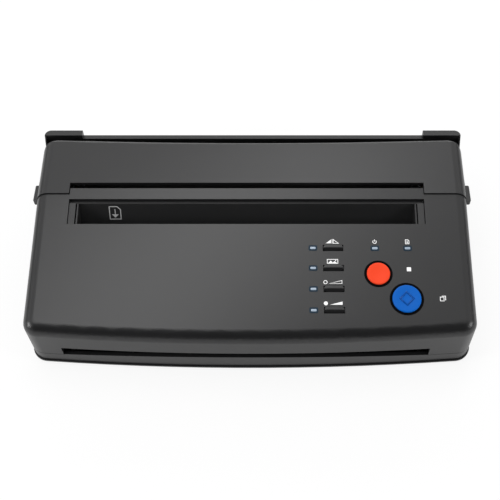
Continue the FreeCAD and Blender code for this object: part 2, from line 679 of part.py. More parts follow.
def make_rear_cover():
    shell = cover_block(0).cut(cover_block(WALL))
    notch = box(PAPER_LEFT - SEAM, PAPER_RIGHT + SEAM, SEAM_Y - OVERRUN, EXIT_BACK_Y, 0, HEIGHT + OVERRUN)
    shell = shell.cut([notch, box(-HALF, HALF, SEAM_Y, BACK_Y, 0, HINGE_Z)])
    pieces = [shell]
    for side in (-1, 1):
        pieces += [lid_knuckle(side), catch_toe(side)]
    for x0 in (PAPER_SHIFT - HEAD_HALF - EASY_FIT - HANGER_THICK, PAPER_SHIFT + HEAD_HALF + EASY_FIT):
        pieces.append(head_hanger(x0))
    pocket_x0 = KNUCKLE_IN_X + KNUCKLE_WIDTH
    pocket = rod_x(LUG_R + EASY_FIT, pocket_x0, pocket_x0 + LUG_WIDTH + 2 * EASY_FIT, HINGE_Y, HINGE_Z)
    return fuse_all(pieces).cut(both_sides(pocket))


def make_print_head():
    """The heat sink bar with its end pins and the raised ceramic strip's seat under it."""
    middle = (HEAD_Y0 + HEAD_Y1) / 2
    pin_z = (HEAD_Z0 + HEAD_Z1) / 2
    x0 = PAPER_SHIFT - HEAD_HALF
    x1 = PAPER_SHIFT + HEAD_HALF
    bar = box(x0, x1, HEAD_Y0, HEAD_Y1, HEAD_Z0 + STRIP_THICK, HEAD_Z1)
    pin = rod_x(HEAD_PIN_R, x0 - HEAD_PIN_LENGTH, x1 + HEAD_PIN_LENGTH, middle, pin_z)
    return fuse_all([bar, pin])


STRIP_THICK = 1.0
STRIP_INSET = 3.0
STRIP_HALF = HEAD_HALF - STRIP_INSET


def make_heater_strip():
    return box(PAPER_SHIFT - STRIP_HALF, PAPER_SHIFT + STRIP_HALF,
               HEAD_Y0 + STRIP_THICK, HEAD_Y1 - STRIP_THICK, HEAD_Z0, HEAD_Z0 + STRIP_THICK)


def make_head_springs():
    middle = (HEAD_Y0 + HEAD_Y1) / 2
    top = cover_z(middle - SPRING_R) - WALL - RUN_FIT
    return Part.makeCompound([rod_z(SPRING_R, HEAD_Z1, top, x, middle) for x in spring_places()])


# Document chute: the hopper's sloping back wall, its end cheeks and the thin fins beside them

CHUTE_FOOT_BEHIND, CHUTE_FOOT_RISE = 4.8, 9.0
CHUTE_FOOT_Y, CHUTE_FOOT_Z = HOPPER_FRONT_Y + CHUTE_FOOT_BEHIND, FEED_Z + CHUTE_FOOT_RISE
CHUTE_THICK = 1.8
CHUTE_HANG = 2.0


def chute_wall_outline():
    top = panel_z(HOPPER_BACK_Y) - WALL
    back_y = HOPPER_BACK_Y
    return [(back_y - CHUTE_THICK, top), (back_y + CHUTE_HANG, top),
            (back_y + CHUTE_HANG, top - CHUTE_THICK), (back_y, top - CHUTE_THICK),
            (CHUTE_FOOT_Y, CHUTE_FOOT_Z), (CHUTE_FOOT_Y - CHUTE_THICK, CHUTE_FOOT_Z)]


def chute_cheek(x0, x1, sunk):
    top0 = panel_z(HOPPER_FRONT_Y + SEAM) - sunk
    top1 = panel_z(CHEEK_BACK_Y) - sunk
    wall_top = panel_z(HOPPER_BACK_Y) - WALL
    outline = [(HOPPER_FRONT_Y + SEAM, top0), (CHEEK_BACK_Y, top1), (CHEEK_BACK_Y, wall_top - CHUTE_THICK),
               (HOPPER_BACK_Y, wall_top - CHUTE_THICK),
               (CHUTE_FOOT_Y, CHUTE_FOOT_Z), (HOPPER_FRONT_Y + SEAM, CHUTE_FOOT_Z)]
    return side_prism(outline, x0, x1)


def make_document_chute():
    x0 = PAPER_LEFT + SEAM
    x1 = PAPER_RIGHT - SEAM
    block = CHEEK_WIDTH - FIN_WIDTH - FIN_SLIT
    pieces = [side_prism(chute_wall_outline(), x0, x1),
              chute_cheek(x0, x0 + block, CHEEK_SUNK), chute_cheek(x1 - block, x1, CHEEK_SUNK)]
    fin_x = x0 + block + FIN_SLIT
    pieces.append(chute_cheek(fin_x, fin_x + FIN_WIDTH, CHEEK_SUNK + FIN_SLIT))
    fin_x = x1 - block - FIN_SLIT
    pieces.append(chute_cheek(fin_x - FIN_WIDTH, fin_x, CHEEK_SUNK + FIN_SLIT))
    return fuse_all(pieces)


# Side frames, with the bushes that carry the shafts

FRAME_FRONT_REACH, FRAME_BACK_REACH = 9.0, 11.0
FRAME_NOSE_DROP, FRAME_HEEL_RISE, FRAME_TOP_RISE = 4.0, 2.0, 7.5
FRAME_TOP_BACK, FRAME_TOP_FRONT = 4.0, 18.0


def frame_outline():
    low = FLOOR_TOP
    top = PLATEN_Z + FRAME_TOP_RISE
    front = SCAN_Y - FRAME_FRONT_REACH
    back = PLATEN_Y + FRAME_BACK_REACH
    return [(front, low), (back, low), (back, PLATEN_Z + FRAME_HEEL_RISE), (PLATEN_Y - FRAME_TOP_BACK, top),
            (PLATEN_Y - FRAME_TOP_FRONT, top), (front, PLATEN_Z - FRAME_NOSE_DROP)]


def shaft_places():
    return ((PLATEN_Y, PLATEN_Z), (FEED_Y, FEED_Z), (SCAN_Y, SCAN_Z))


def make_side_frame(x0):
    plate = side_prism(frame_outline(), x0, x0 + FRAME_THICK)
    return plate.cut([rod_x(BUSH_R, x0 - OVERRUN, x0 + OVERRUN, y, z) for y, z in shaft_places()])


def make_right_frame():
    plate = make_side_frame(FRAME_RIGHT_X)
    x0 = FRAME_RIGHT_X - OVERRUN
    x1 = FRAME_RIGHT_X + OVERRUN
    holes = [rod_x(STUD_R / 2, x0, x1, y, z) for y, z in idler_places()]
    holes.append(rod_x(PINION_R + BUSH_FLANGE, x0, x1, *motor_place()))
    return plate.cut(holes)


def make_shaft_bushes():
    bushes = []
    for x0, outward in ((FRAME_LEFT_X, -1), (FRAME_RIGHT_X, 1)):
        for y, z in shaft_places():
            sleeve = rod_x(BUSH_R, x0, x0 + FRAME_THICK, y, z)
            flange_x = x0 - BUSH_FLANGE if outward < 0 else x0 + FRAME_THICK
            flange = rod_x(BUSH_FLANGE_R, flange_x, flange_x + BUSH_FLANGE, y, z)
            bush = sleeve.fuse(flange).removeSplitter()
            bushes.append(bush.cut(rod_x(SHAFT_R + RUN_FIT, x0 - OVERRUN, x0 + OVERRUN, y, z)))
    return Part.makeCompound(bushes)


# Rollers: each a sleeve on a steel shaft that runs in the two frames

def make_sleeve(radius, length, y, z):
    x0 = PAPER_SHIFT - length / 2
    x1 = PAPER_SHIFT + length / 2
    return rod_x(radius, x0, x1, y, z).cut(rod_x(SHAFT_R, x0 - OVERRUN, x1 + OVERRUN, y, z))


def make_shaft(y, z):
    return rod_x(SHAFT_R, FRAME_LEFT_X - BUSH_FLANGE - FRAME_THICK, GEAR_X + GEAR_WIDTH + EASY_FIT, y, z)


# Gear train on the right frame's outer side

def pitch_radius(teeth):
    return MODULE * teeth / 2


PINION_R = pitch_radius(PINION_TEETH)


def third_corner(a, b, reach_a, reach_b, turn):
    """The point at the two given distances from a and b, on the side that turn says."""
    dy, dz = b[0] - a[0], b[1] - a[1]
    span = math.hypot(dy, dz)
    along = (reach_a ** 2 - reach_b ** 2 + span ** 2) / (2 * span)
    off = math.sqrt(reach_a ** 2 - along ** 2) * turn
    return (a[0] + (along * dy - off * dz) / span, a[1] + (along * dz + off * dy) / span)


def idler_places():
    platen, feed, scan = shaft_places()
    large = third_corner(platen, feed, pitch_radius(PLATEN_TEETH + LARGE_IDLER_TEETH),
                         pitch_radius(FEED_TEETH + LARGE_IDLER_TEETH), 1)
    small = third_corner(feed, scan, pitch_radius(FEED_TEETH + SMALL_IDLER_TEETH),
                         pitch_radius(SCAN_TEETH + SMALL_IDLER_TEETH), -1)
    return (large, small)


def motor_place():
    large = idler_places()[0]
    reach = pitch_radius(PINION_TEETH + LARGE_IDLER_TEETH)
    drop = MOTOR_AXIS_Z - large[1]
    return (large[0] + math.sqrt(reach ** 2 - drop ** 2), MOTOR_AXIS_Z)


def involute(angle):
    return math.tan(angle) - angle


FLANK_POINTS = 6


def gear_outline(teeth, phase):
    """Points of the whole gear: involute flanks from the base circle, straight below it."""
    pressure = math.radians(PRESSURE_ANGLE)
    pitch = pitch_radius(teeth)
    base = pitch * math.cos(pressure)
    tip = pitch + MODULE * (1 - TOOTH_CLEARANCE / 2)
    root = pitch - MODULE * (1 + TOOTH_CLEARANCE)
    half_at_pitch = math.pi / (2 * teeth) - BACKLASH / (2 * pitch)
    low = max(base, root)
    flank = [(root, half_at_pitch + involute(pressure))] if root < base else []
    for i in range(FLANK_POINTS):
        radius = low + (tip - low) * i / (FLANK_POINTS - 1)
        angle = math.acos(min(1.0, base / radius))
        flank.append((radius, half_at_pitch + involute(pressure) - involute(angle)))
    points = []
    for k in range(teeth):
        middle = phase + 2 * math.pi * k / teeth
        points += [(r, middle - a) for r, a in flank]
        points += [(r, middle + a) for r, a in reversed(flank)]
    return [(r * math.cos(a), r * math.sin(a)) for r, a in points]


def make_gear(teeth, centre, phase, bore_r):
    y, z = centre
    outline = [(y + py, z + pz) for py, pz in gear_outline(teeth, phase)]
    gear = side_prism(outline, GEAR_X, GEAR_X + GEAR_WIDTH)
    return gear.cut(rod_x(bore_r, GEAR_X - OVERRUN, GEAR_X + GEAR_WIDTH + OVERRUN, y, z))


def meshing_phase(teeth_a, centre_a, phase_a, teeth_b, centre_b):
    """The phase at which gear b's gap faces gear a's tooth on their line of centres."""
    line = math.atan2(centre_b[1] - centre_a[1], centre_b[0] - centre_a[0])
    step = 2 * math.pi / teeth_a
    ahead = (line - phase_a) % step
    return line + math.pi + math.pi / teeth_b + ahead * teeth_a / teeth_b


def gear_train():
    """Name, teeth, centre, phase and bore of every gear, meshed from the platen's gear outwards."""
    large, small = idler_places()
    platen, feed, scan = shaft_places()
    motor = motor_place()
    large_phase = meshing_phase(PLATEN_TEETH, platen, 0, LARGE_IDLER_TEETH, large)
    feed_phase = meshing_phase(LARGE_IDLER_TEETH, large, large_phase, FEED_TEETH, feed)
    small_phase = meshing_phase(FEED_TEETH, feed, feed_phase, SMALL_IDLER_TEETH, small)
    scan_phase = meshing_phase(SMALL_IDLER_TEETH, small, small_phase, SCAN_TEETH, scan)
    pinion_phase = meshing_phase(LARGE_IDLER_TEETH, large, large_phase, PINION_TEETH, motor)
    idler_bore = STUD_R + RUN_FIT
    return [("platen_gear", PLATEN_TEETH, platen, 0, SHAFT_R),
            ("feed_gear", FEED_TEETH, feed, feed_phase, SHAFT_R),
            ("scan_gear", SCAN_TEETH, scan, scan_phase, SHAFT_R),
            ("large_idler_gear", LARGE_IDLER_TEETH, large, large_phase, idler_bore),
            ("small_idler_gear", SMALL_IDLER_TEETH, small, small_phase, idler_bore),
            ("motor_pinion", PINION_TEETH, motor, pinion_phase, MOTOR_SHAFT_R)]


MOTOR_SHAFT_R = 1.25
STUD_HEAD_R = 3.75


def make_idler_studs():
    """Shouldered studs riveted in the right frame, each with a head outside its gear."""
    studs = []
    for y, z in idler_places():
        x0 = FRAME_RIGHT_X + FRAME_THICK
        head = GEAR_X + GEAR_WIDTH + EASY_FIT
        shoulder = rod_x(2 * STUD_R, x0, GEAR_X - EASY_FIT, y, z)
        rivet = rod_x(STUD_R / 2, FRAME_RIGHT_X, x0, y, z)
        body = rod_x(STUD_R, x0, head, y, z)
        cap = rod_x(STUD_HEAD_R, head, head + BUSH_FLANGE, y, z)
        studs.append(fuse_all([shoulder, rivet, body, cap]))
    return Part.makeCompound(studs)


def make_motor():
    y, z = motor_place()
    can = rod_x(MOTOR_R, FRAME_RIGHT_X - MOTOR_LENGTH, FRAME_RIGHT_X, y, z)
    boss = rod_x(PINION_R, FRAME_RIGHT_X, FRAME_RIGHT_X + FRAME_THICK, y, z)
    solid = can.fuse(boss).removeSplitter()
    x0 = FRAME_RIGHT_X - MOTOR_LENGTH / 2
    return solid.cut(rod_x(MOTOR_SHAFT_R + RUN_FIT, x0, FRAME_RIGHT_X + OVERRUN, y, z))


def make_motor_shaft():
    y, z = motor_place()
    return rod_x(MOTOR_SHAFT_R, FRAME_RIGHT_X - MOTOR_LENGTH / 2 + EASY_FIT, GEAR_X + GEAR_WIDTH, y, z)


# Scanning: the image sensor bar with its glass, the separation pad and the paper guide

SENSOR_MARGIN = 29.5
SENSOR_HALF = HALF - SENSOR_MARGIN
SENSOR_HALF_DEPTH = 7.0
GLASS_THICK = 1.2
SENSOR_TOP = SCAN_Z - SCAN_R - EASY_FIT - GLASS_THICK
PAD_BAR_AHEAD, PAD_BAR_BEHIND = 7.0, 1.0
PAD_BAR_Y0, PAD_BAR_Y1 = FEED_Y - PAD_BAR_AHEAD, FEED_Y + PAD_BAR_BEHIND
PAD_BAR_THICK = 3.0
PAD_THICK = 1.5
PAD_HALF = 12.0
GUIDE_THICK = 1.5
GUIDE_STEP = 1.2
GUIDE_TOP = SENSOR_TOP - GUIDE_STEP
GUIDE_RIBS = 7


def make_image_sensor():
    x0 = PAPER_SHIFT - SENSOR_HALF
    x1 = PAPER_SHIFT + SENSOR_HALF
    bar = box(x0, x1, SCAN_Y - SENSOR_HALF_DEPTH, SCAN_Y + SENSOR_HALF_DEPTH, FLOOR_TOP, SENSOR_TOP)
    groove = box(x0 + WALL, x1 - WALL, SCAN_Y - WALL / 2, SCAN_Y + WALL / 2, SENSOR_TOP - WALL, SENSOR_TOP)
    return bar.cut(groove)


def make_scan_glass():
    x0 = PAPER_SHIFT - SENSOR_HALF
    x1 = PAPER_SHIFT + SENSOR_HALF
    return box(x0, x1, SCAN_Y - SENSOR_HALF_DEPTH, SCAN_Y + SENSOR_HALF_DEPTH,
               SENSOR_TOP, SENSOR_TOP + GLASS_THICK)


def make_separation_bar():
    z0 = FEED_Z + FEED_R + EASY_FIT + PAD_THICK
    return box(FRAME_LEFT_X + FRAME_THICK, FRAME_RIGHT_X, PAD_BAR_Y0, PAD_BAR_Y1, z0, z0 + PAD_BAR_THICK)


def make_separation_pad():
    z0 = FEED_Z + FEED_R + EASY_FIT
    return box(PAPER_SHIFT - PAD_HALF, PAPER_SHIFT + PAD_HALF, PAD_BAR_Y0 + GUIDE_THICK, PAD_BAR_Y1,
               z0, z0 + PAD_THICK)


GUIDE_INSET = 7.5


def make_document_guide():
    """A ribbed plate that leads the sheet from the glass to the front slot."""
    y0 = FRONT_Y + GUIDE_INSET
    y1 = SCAN_Y - SENSOR_HALF_DEPTH - SEAM
    x0 = PAPER_SHIFT - SENSOR_HALF
    x1 = PAPER_SHIFT + SENSOR_HALF
    plate = box(x0, x1, y0, y1, GUIDE_TOP - GUIDE_THICK, GUIDE_TOP)
    ribs = []
    for i in range(GUIDE_RIBS):
        x = x0 + (x1 - x0 - GUIDE_THICK) * i / (GUIDE_RIBS - 1)
        ribs.append(box(x, x + GUIDE_THICK, y0, y1, FLOOR_TOP, GUIDE_TOP - GUIDE_THICK))
    return fuse_all([plate] + ribs)



# Keys, buttons, their switches and lights, all drawn about the panel's own plane

SWITCH_SIZE = 6.0
SWITCH_HEIGHT = 3.4
PLUNGER_R = 1.6
PLUNGER_GAP = 0.2
PLUNGER_PROUD = 0.8
LED_R = 1.6


def switch_top():
    return -BOARD_DEPTH + SWITCH_HEIGHT


def soft_cap(solid, radius):
    """Rounds the upper rim of a cap that is drawn with +Z up."""
    top = max(solid.Faces, key=lambda f: f.CenterOfMass.z)
    return solid.makeFillet(radius, top.Edges)


def make_key(y):
    half_x = KEY_LENGTH / 2
    half_y = KEY_DEPTH / 2
    cap = soft_cap(box(-half_x, half_x, -half_y, half_y, -WALL, KEY_PROUD), KEY_PROUD / 2)
    under = -WALL - KEY_GAP
    flange = box(-half_x - FLANGE_WIDE, half_x + FLANGE_WIDE, -half_y - FLANGE_WIDE, half_y + FLANGE_WIDE,
                 under - FLANGE_THICK, under)
    neck = box(-half_x, half_x, -half_y, half_y, under, -WALL)
    stem = rod_z(PLUNGER_R, switch_top() + KEY_TRAVEL + PLUNGER_GAP, under - FLANGE_THICK, 0, 0)
    return on_panel(fuse_all([cap, neck, flange, stem]), KEY_X, y)


def make_button(radius, x, y):
    cap = soft_cap(rod_z(radius, -WALL, BUTTON_PROUD, 0, 0), BUTTON_PROUD / 2)
    under = -WALL - KEY_GAP
    flange = rod_z(radius + BUTTON_RING + FLANGE_WIDE, under - FLANGE_THICK, under, 0, 0)
    neck = rod_z(radius, under, -WALL, 0, 0)
    stem = rod_z(PLUNGER_R, switch_top() + BUTTON_TRAVEL + PLUNGER_GAP, under - FLANGE_THICK, 0, 0)
    return on_panel(fuse_all([cap, neck, flange, stem]), x, y)


def panel_box(x0, x1, y0, y1, z0, z1):
    """A box given by its span on the panel in X and Y and by its depth under the panel."""
    middle = (y0 + y1) / 2
    half = (y1 - y0) / 2 / math.cos(math.radians(PANEL_SLOPE))
    return on_panel(box(x0, x1, -half, half, z0, z1), 0, middle)


def make_key_board():
    board = panel_box(BOARD_X0, BOARD_X1, BOARD_Y0, BOARD_Y1, -BOARD_DEPTH - BOARD_THICK, -BOARD_DEPTH)
    holes = [on_panel(rod_z(SCREW_R, -2 * BOARD_DEPTH, 0, 0, 0), x, y) for x, y in board_screw_places()]
    return board.cut(holes)


SCREW_R = 1.2
SCREW_HEAD_R = 2.2
SCREW_HEAD = 1.2


def make_board_screws():
    """Screws that hold the key board up against its posts, driven from below."""
    screws = []
    for x, y in board_screw_places():
        low = -BOARD_DEPTH - BOARD_THICK
        head = rod_z(SCREW_HEAD_R, low - SCREW_HEAD, low, 0, 0)
        shank = rod_z(SCREW_R, low, -BOARD_DEPTH, 0, 0)
        screws.append(on_panel(head.fuse(shank).removeSplitter(), x, y))
    return Part.makeCompound(screws)


def switch_places():
    return [(KEY_X, y) for y in KEY_ROWS_Y] + [(STOP_X, STOP_Y), (COPY_X, COPY_Y)]


def make_switches():
    switches = []
    half = SWITCH_SIZE / 2
    for x, y in switch_places():
        base = box(-half, half, -half, half, -BOARD_DEPTH, switch_top() - PLUNGER_PROUD)
        plunger = rod_z(PLUNGER_R, -BOARD_DEPTH, switch_top(), 0, 0)
        switches.append(on_panel(base.fuse(plunger).removeSplitter(), x, y))
    return Part.makeCompound(switches)


def make_leds():
    """Small lamps on the board, one below each window."""
    lamps = []
    for x, y in window_places():
        lamps.append(on_panel(rod_z(LED_R, -BOARD_DEPTH, -WALL - FLANGE_THICK - EASY_FIT, 0, 0), x, y))
    return Part.makeCompound(lamps)


def make_windows():
    """Clear light windows with a flange under the panel."""
    windows = []
    half_x = WINDOW_LENGTH / 2
    half_y = WINDOW_DEPTH / 2
    for x, y in window_places():
        lens = box(-half_x, half_x, -half_y, half_y, -WALL, WINDOW_PROUD)
        flange = box(-half_x - FLANGE_WIDE, half_x + FLANGE_WIDE, -half_y - FLANGE_WIDE, half_y + FLANGE_WIDE,
                     -WALL - FLANGE_THICK, -WALL)
        windows.append(on_panel(lens.fuse(flange).removeSplitter(), x, y))
    return Part.makeCompound(windows)


# Electronics in the tray and the sockets in the rear wall

MAIN_INSETS = (37.5, 117.5)
MAIN_X0, MAIN_X1 = MAIN_INSETS[0] - HALF, HALF - MAIN_INSETS[1]
MAIN_FROM_BACK = (64.5, 22.5)
MAIN_Y0, MAIN_Y1 = BACK_Y - MAIN_FROM_BACK[0], BACK_Y - MAIN_FROM_BACK[1]
MAIN_LIFT = 3.5
MAIN_Z = FLOOR_TOP + MAIN_LIFT
CHIP_HEIGHT = 2.0
CHIP_SHARES = ((0.15, 0.3, 0.12, 0.3), (0.45, 0.35, 0.2, 0.4), (0.8, 0.6, 0.08, 0.2))


def make_standoffs():
    posts = []
    for x, y in main_screw_places():
        posts.append(rod_z(BOARD_POST_R, FLOOR_TOP, MAIN_Z, x, y))
    return Part.makeCompound(posts)


def main_screw_places():
    xs = (MAIN_X0 + BOARD_EDGE, MAIN_X1 - BOARD_EDGE)
    ys = (MAIN_Y0 + BOARD_EDGE, MAIN_Y1 - BOARD_EDGE)
    return [(x, y) for x in xs for y in ys]


def make_main_board():
    board = box(MAIN_X0, MAIN_X1, MAIN_Y0, MAIN_Y1, MAIN_Z, MAIN_Z + BOARD_THICK)
    chips = []
    span_x = MAIN_X1 - MAIN_X0
    span_y = MAIN_Y1 - MAIN_Y0
    for x_share, y_share, wide_share, deep_share in CHIP_SHARES:
        x = MAIN_X0 + span_x * x_share
        y = MAIN_Y0 + span_y * y_share
        chips.append(box(x, x + span_x * wide_share, y, y + span_y * deep_share,
                         MAIN_Z + BOARD_THICK, MAIN_Z + BOARD_THICK + CHIP_HEIGHT))
    return fuse_all([board] + chips)


def make_main_screws():
    screws = []
    top = MAIN_Z + BOARD_THICK
    for x, y in main_screw_places():
        screws.append(rod_z(SCREW_HEAD_R, top, top + SCREW_HEAD, x, y))
    return Part.makeCompound(screws)


def make_power_socket():
    """The low-voltage inlet: a block behind the rear wall with a round mouth and a centre pin."""
    inner = BACK_Y - WALL
    y0 = inner - JACK_DEPTH
    block = box(JACK_X - JACK_WIDTH / 2, JACK_X + JACK_WIDTH / 2, y0, inner,
                JACK_Z - JACK_HEIGHT / 2, JACK_Z + JACK_HEIGHT / 2)
    collar = rod_y(JACK_BORE_R + BUSH_FLANGE, inner, BACK_Y, JACK_X, JACK_Z)
    solid = block.fuse(collar).removeSplitter()
    solid = solid.cut(rod_y(JACK_BORE_R, BACK_Y - JACK_BORE_DEPTH, BACK_Y + OVERRUN, JACK_X, JACK_Z))
    pin = rod_y(JACK_PIN_R, BACK_Y - JACK_BORE_DEPTH - BUSH_FLANGE, BACK_Y - BUSH_FLANGE, JACK_X, JACK_Z)
    return solid.fuse(pin).removeSplitter()


def make_switch_housing():
    half_x = ROCKER_WIDTH / 2
    half_z = ROCKER_HEIGHT / 2
    shell = box(ROCKER_X - half_x, ROCKER_X + half_x, BACK_Y - SWITCH_DEPTH, BACK_Y,
                ROCKER_Z - half_z, ROCKER_Z + half_z)
    hollow = box(ROCKER_X - half_x + ROCKER_RIM, ROCKER_X + half_x - ROCKER_RIM,
                 BACK_Y - SWITCH_DEPTH + 2 * ROCKER_RIM, BACK_Y + OVERRUN,
                 ROCKER_Z - half_z + ROCKER_RIM, ROCKER_Z + half_z - ROCKER_RIM)
    return shell.cut(hollow)


ROCKER_TILT = 9.0
ROCKER_DIP_SHARE = 0.8
ROCKER_FACE_SHARE = 0.9
ROCKER_PIVOT_IN = 5.0


def rocker_outline():
    """Seen from above: a paddle with two faces that meet over its pivot."""
    reach = ROCKER_WIDTH / 2 - ROCKER_RIM - EASY_FIT - RUN_FIT
    lean = reach * math.tan(math.radians(ROCKER_TILT))
    return reach, lean


def make_power_rocker():
    reach, lean = rocker_outline()
    face_y = BACK_Y - ROCKER_RIM
    half = ROCKER_HEIGHT / 2 - ROCKER_RIM - EASY_FIT
    root = face_y - ROCKER_PIVOT_IN
    spread = reach * ROCKER_FACE_SHARE
    corners = [(-spread, face_y), (0, face_y - lean * ROCKER_DIP_SHARE), (spread, face_y - lean),
               (spread / 2, root), (-spread / 2, root)]
    points = [FreeCAD.Vector(ROCKER_X + x, y, ROCKER_Z - half) for x, y in corners]
    face = Part.Face(Part.makePolygon(points + points[:1]))
    paddle = face.extrude(FreeCAD.Vector(0, 0, 2 * half))
    pivot = rod_z(SCREW_R, ROCKER_Z - half - EASY_FIT, ROCKER_Z + half + EASY_FIT, ROCKER_X, root + SCREW_R)
    return fuse_all([paddle, pivot])


# Hinge pins, latch levers and case screws

def make_hinge_pins():
    x0 = KNUCKLE_IN_X - EASY_FIT
    x1 = KNUCKLE_IN_X + KNUCKLE_WIDTH + EASY_FIT + LUG_WIDTH
    pin = rod_x(PIN_R, x0, x1, HINGE_Y, HINGE_Z)
    return Part.makeCompound(both_sides(pin))


def make_latch_pins():
    x0 = LATCH_X - LATCH_WIDTH / 2 - EASY_FIT
    pin = rod_x(PIN_R, x0, CASE_HALF - WALL, LATCH_Y, LATCH_Z)
    return Part.makeCompound(both_sides(pin))


HOOK_THICK = 1.8


def make_latch(side):
    """A lever on its pin, with the finger tab out through the side and a hook beside the lid's toe."""
    x0 = LATCH_X - LATCH_WIDTH / 2
    x1 = LATCH_X + LATCH_WIDTH / 2
    front = TAB_Y0 + EASY_FIT + TOE_LENGTH + EASY_FIT
    back = front + LATCH_WIDTH
    outline = [(LATCH_Y - LATCH_WIDTH, LATCH_Z), (front, TAB_Z0), (front, TAB_Z1 + HOOK_THICK),
               (back, TAB_Z1 + HOOK_THICK), (back, TAB_Z0), (LATCH_Y + LATCH_WIDTH, LATCH_Z)]
    arm = side_prism(outline, x0, x1).fuse(rod_x(LATCH_WIDTH, x0, x1, LATCH_Y, LATCH_Z))
    tab = box(x1 - SEAM, HALF + TAB_PROUD, TAB_Y0, TAB_Y1, TAB_Z0, TAB_Z1)
    outer = [e for e in tab.Edges if e.BoundBox.XMin > HALF and e.BoundBox.XLength < RUN_FIT]
    tab = tab.makeFillet(FLANGE_THICK, outer)
    lever = fuse_all([arm, tab]).cut(rod_x(PIN_R + RUN_FIT, 0, HALF, LATCH_Y, LATCH_Z))
    return lever if side > 0 else mirrored(lever)


CASE_SCREW_R = 1.5
CASE_SCREW_INSET = 12.0
CASE_SCREW_BEHIND = 2.0
SCREW_SUNK = 0.5


def case_screw_places():
    xs = (-CASE_HALF + CASE_SCREW_INSET, CASE_HALF - CASE_SCREW_INSET)
    ys = (FRONT_Y + 2 * CASE_SCREW_INSET, FEED_Y + CASE_SCREW_BEHIND)
    return [(x, y) for x in xs for y in ys]


def make_case_screws():
    """Screws that come up through the floor into the front cover's posts."""
    screws = []
    for x, y in case_screw_places():
        low = FOOT_HEIGHT + SCREW_SUNK
        screws.append(fuse_all([rod_z(SCREW_HEAD_R, low, FLOOR_TOP, x, y),
                                rod_z(CASE_SCREW_R, FLOOR_TOP, LOWER_EDGE, x, y)]))
    return Part.makeCompound(screws)


def front_posts():
    """Screw posts of the front cover, from the floor up to the panel."""
    return [rod_z(2 * CASE_SCREW_R, FLOOR_TOP, panel_z(y) - WALL / 2, x, y) for x, y in case_screw_places()]


def front_post_bores():
    return [rod_z(CASE_SCREW_R, 0, LOWER_EDGE, x, y) for x, y in case_screw_places()]


def screw_head_bores():
    return [rod_z(SCREW_HEAD_R, 0, FLOOR_TOP, x, y) for x, y in case_screw_places()]


def single_nodes():
    return {
        "lower_case": make_lower_case,
        "feet": make_feet,
        "front_cover": make_front_cover,
        "rear_cover": make_rear_cover,
        "document_chute": make_document_chute,
        "left_side_frame": lambda: make_side_frame(FRAME_LEFT_X),
        "right_side_frame": make_right_frame,
        "shaft_bushes": make_shaft_bushes,
        "hinge_pins": make_hinge_pins,
        "latch_pins": make_latch_pins,
        "left_latch": lambda: make_latch(-1),
        "right_latch": lambda: make_latch(1),
        "print_head": make_print_head,
        "heater_strip": make_heater_strip,
        "head_springs": make_head_springs,
        "platen_roller": lambda: make_sleeve(PLATEN_R, PLATEN_LENGTH, PLATEN_Y, PLATEN_Z),
        "platen_shaft": lambda: make_shaft(PLATEN_Y, PLATEN_Z),
        "feed_roller": lambda: make_sleeve(FEED_R, FEED_LENGTH, FEED_Y, FEED_Z),
        "feed_shaft": lambda: make_shaft(FEED_Y, FEED_Z),
        "scan_roller": lambda: make_sleeve(SCAN_R, SCAN_LENGTH, SCAN_Y, SCAN_Z),
        "scan_shaft": lambda: make_shaft(SCAN_Y, SCAN_Z),
        "idler_studs": make_idler_studs,
        "stepper_motor": make_motor,
        "motor_shaft": make_motor_shaft,
        "image_sensor": make_image_sensor,
        "scan_glass": make_scan_glass,
        "separation_bar": make_separation_bar,
        "separation_pad": make_separation_pad,
        "document_guide": make_document_guide,
        "stop_button": lambda: make_button(STOP_R, STOP_X, STOP_Y),
        "copy_button": lambda: make_button(COPY_R, COPY_X, COPY_Y),
        "key_board": make_key_board,
        "board_screws": make_board_screws,
        "key_switches": make_switches,
        "key_lamps": make_leds,
        "light_windows": make_windows,
        "main_board": make_main_board,
        "board_standoffs": make_standoffs,
        "main_board_screws": make_main_screws,
        "power_socket": make_power_socket,
        "switch_housing": make_switch_housing,
        "power_rocker": make_power_rocker,
        "case_screws": make_case_screws,
    }


def save(shape, name):
    shape.exportStep(os.path.join("parts", name + ".step"))


os.makedirs("parts", exist_ok=True)

for node, make in single_nodes().items():
    save(make(), node)

for name, teeth, centre, phase, bore in gear_train():
    save(make_gear(teeth, centre, phase, bore), name)

for name, row_y in zip(KEY_NAMES, KEY_ROWS_Y):
    save(make_key(row_y), name)
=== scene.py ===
# %% [markdown]
# # A thermal stencil copier
# This lesson dresses a finished CAD model of a small desktop machine: a low black case with a sloping key
# panel, a hopper for the original, a narrow exit gap and a hinged lid over the print head. The CAD model
# gives every piece its place and size in metres. Here the pieces get their surfaces, their finish and their
# light.

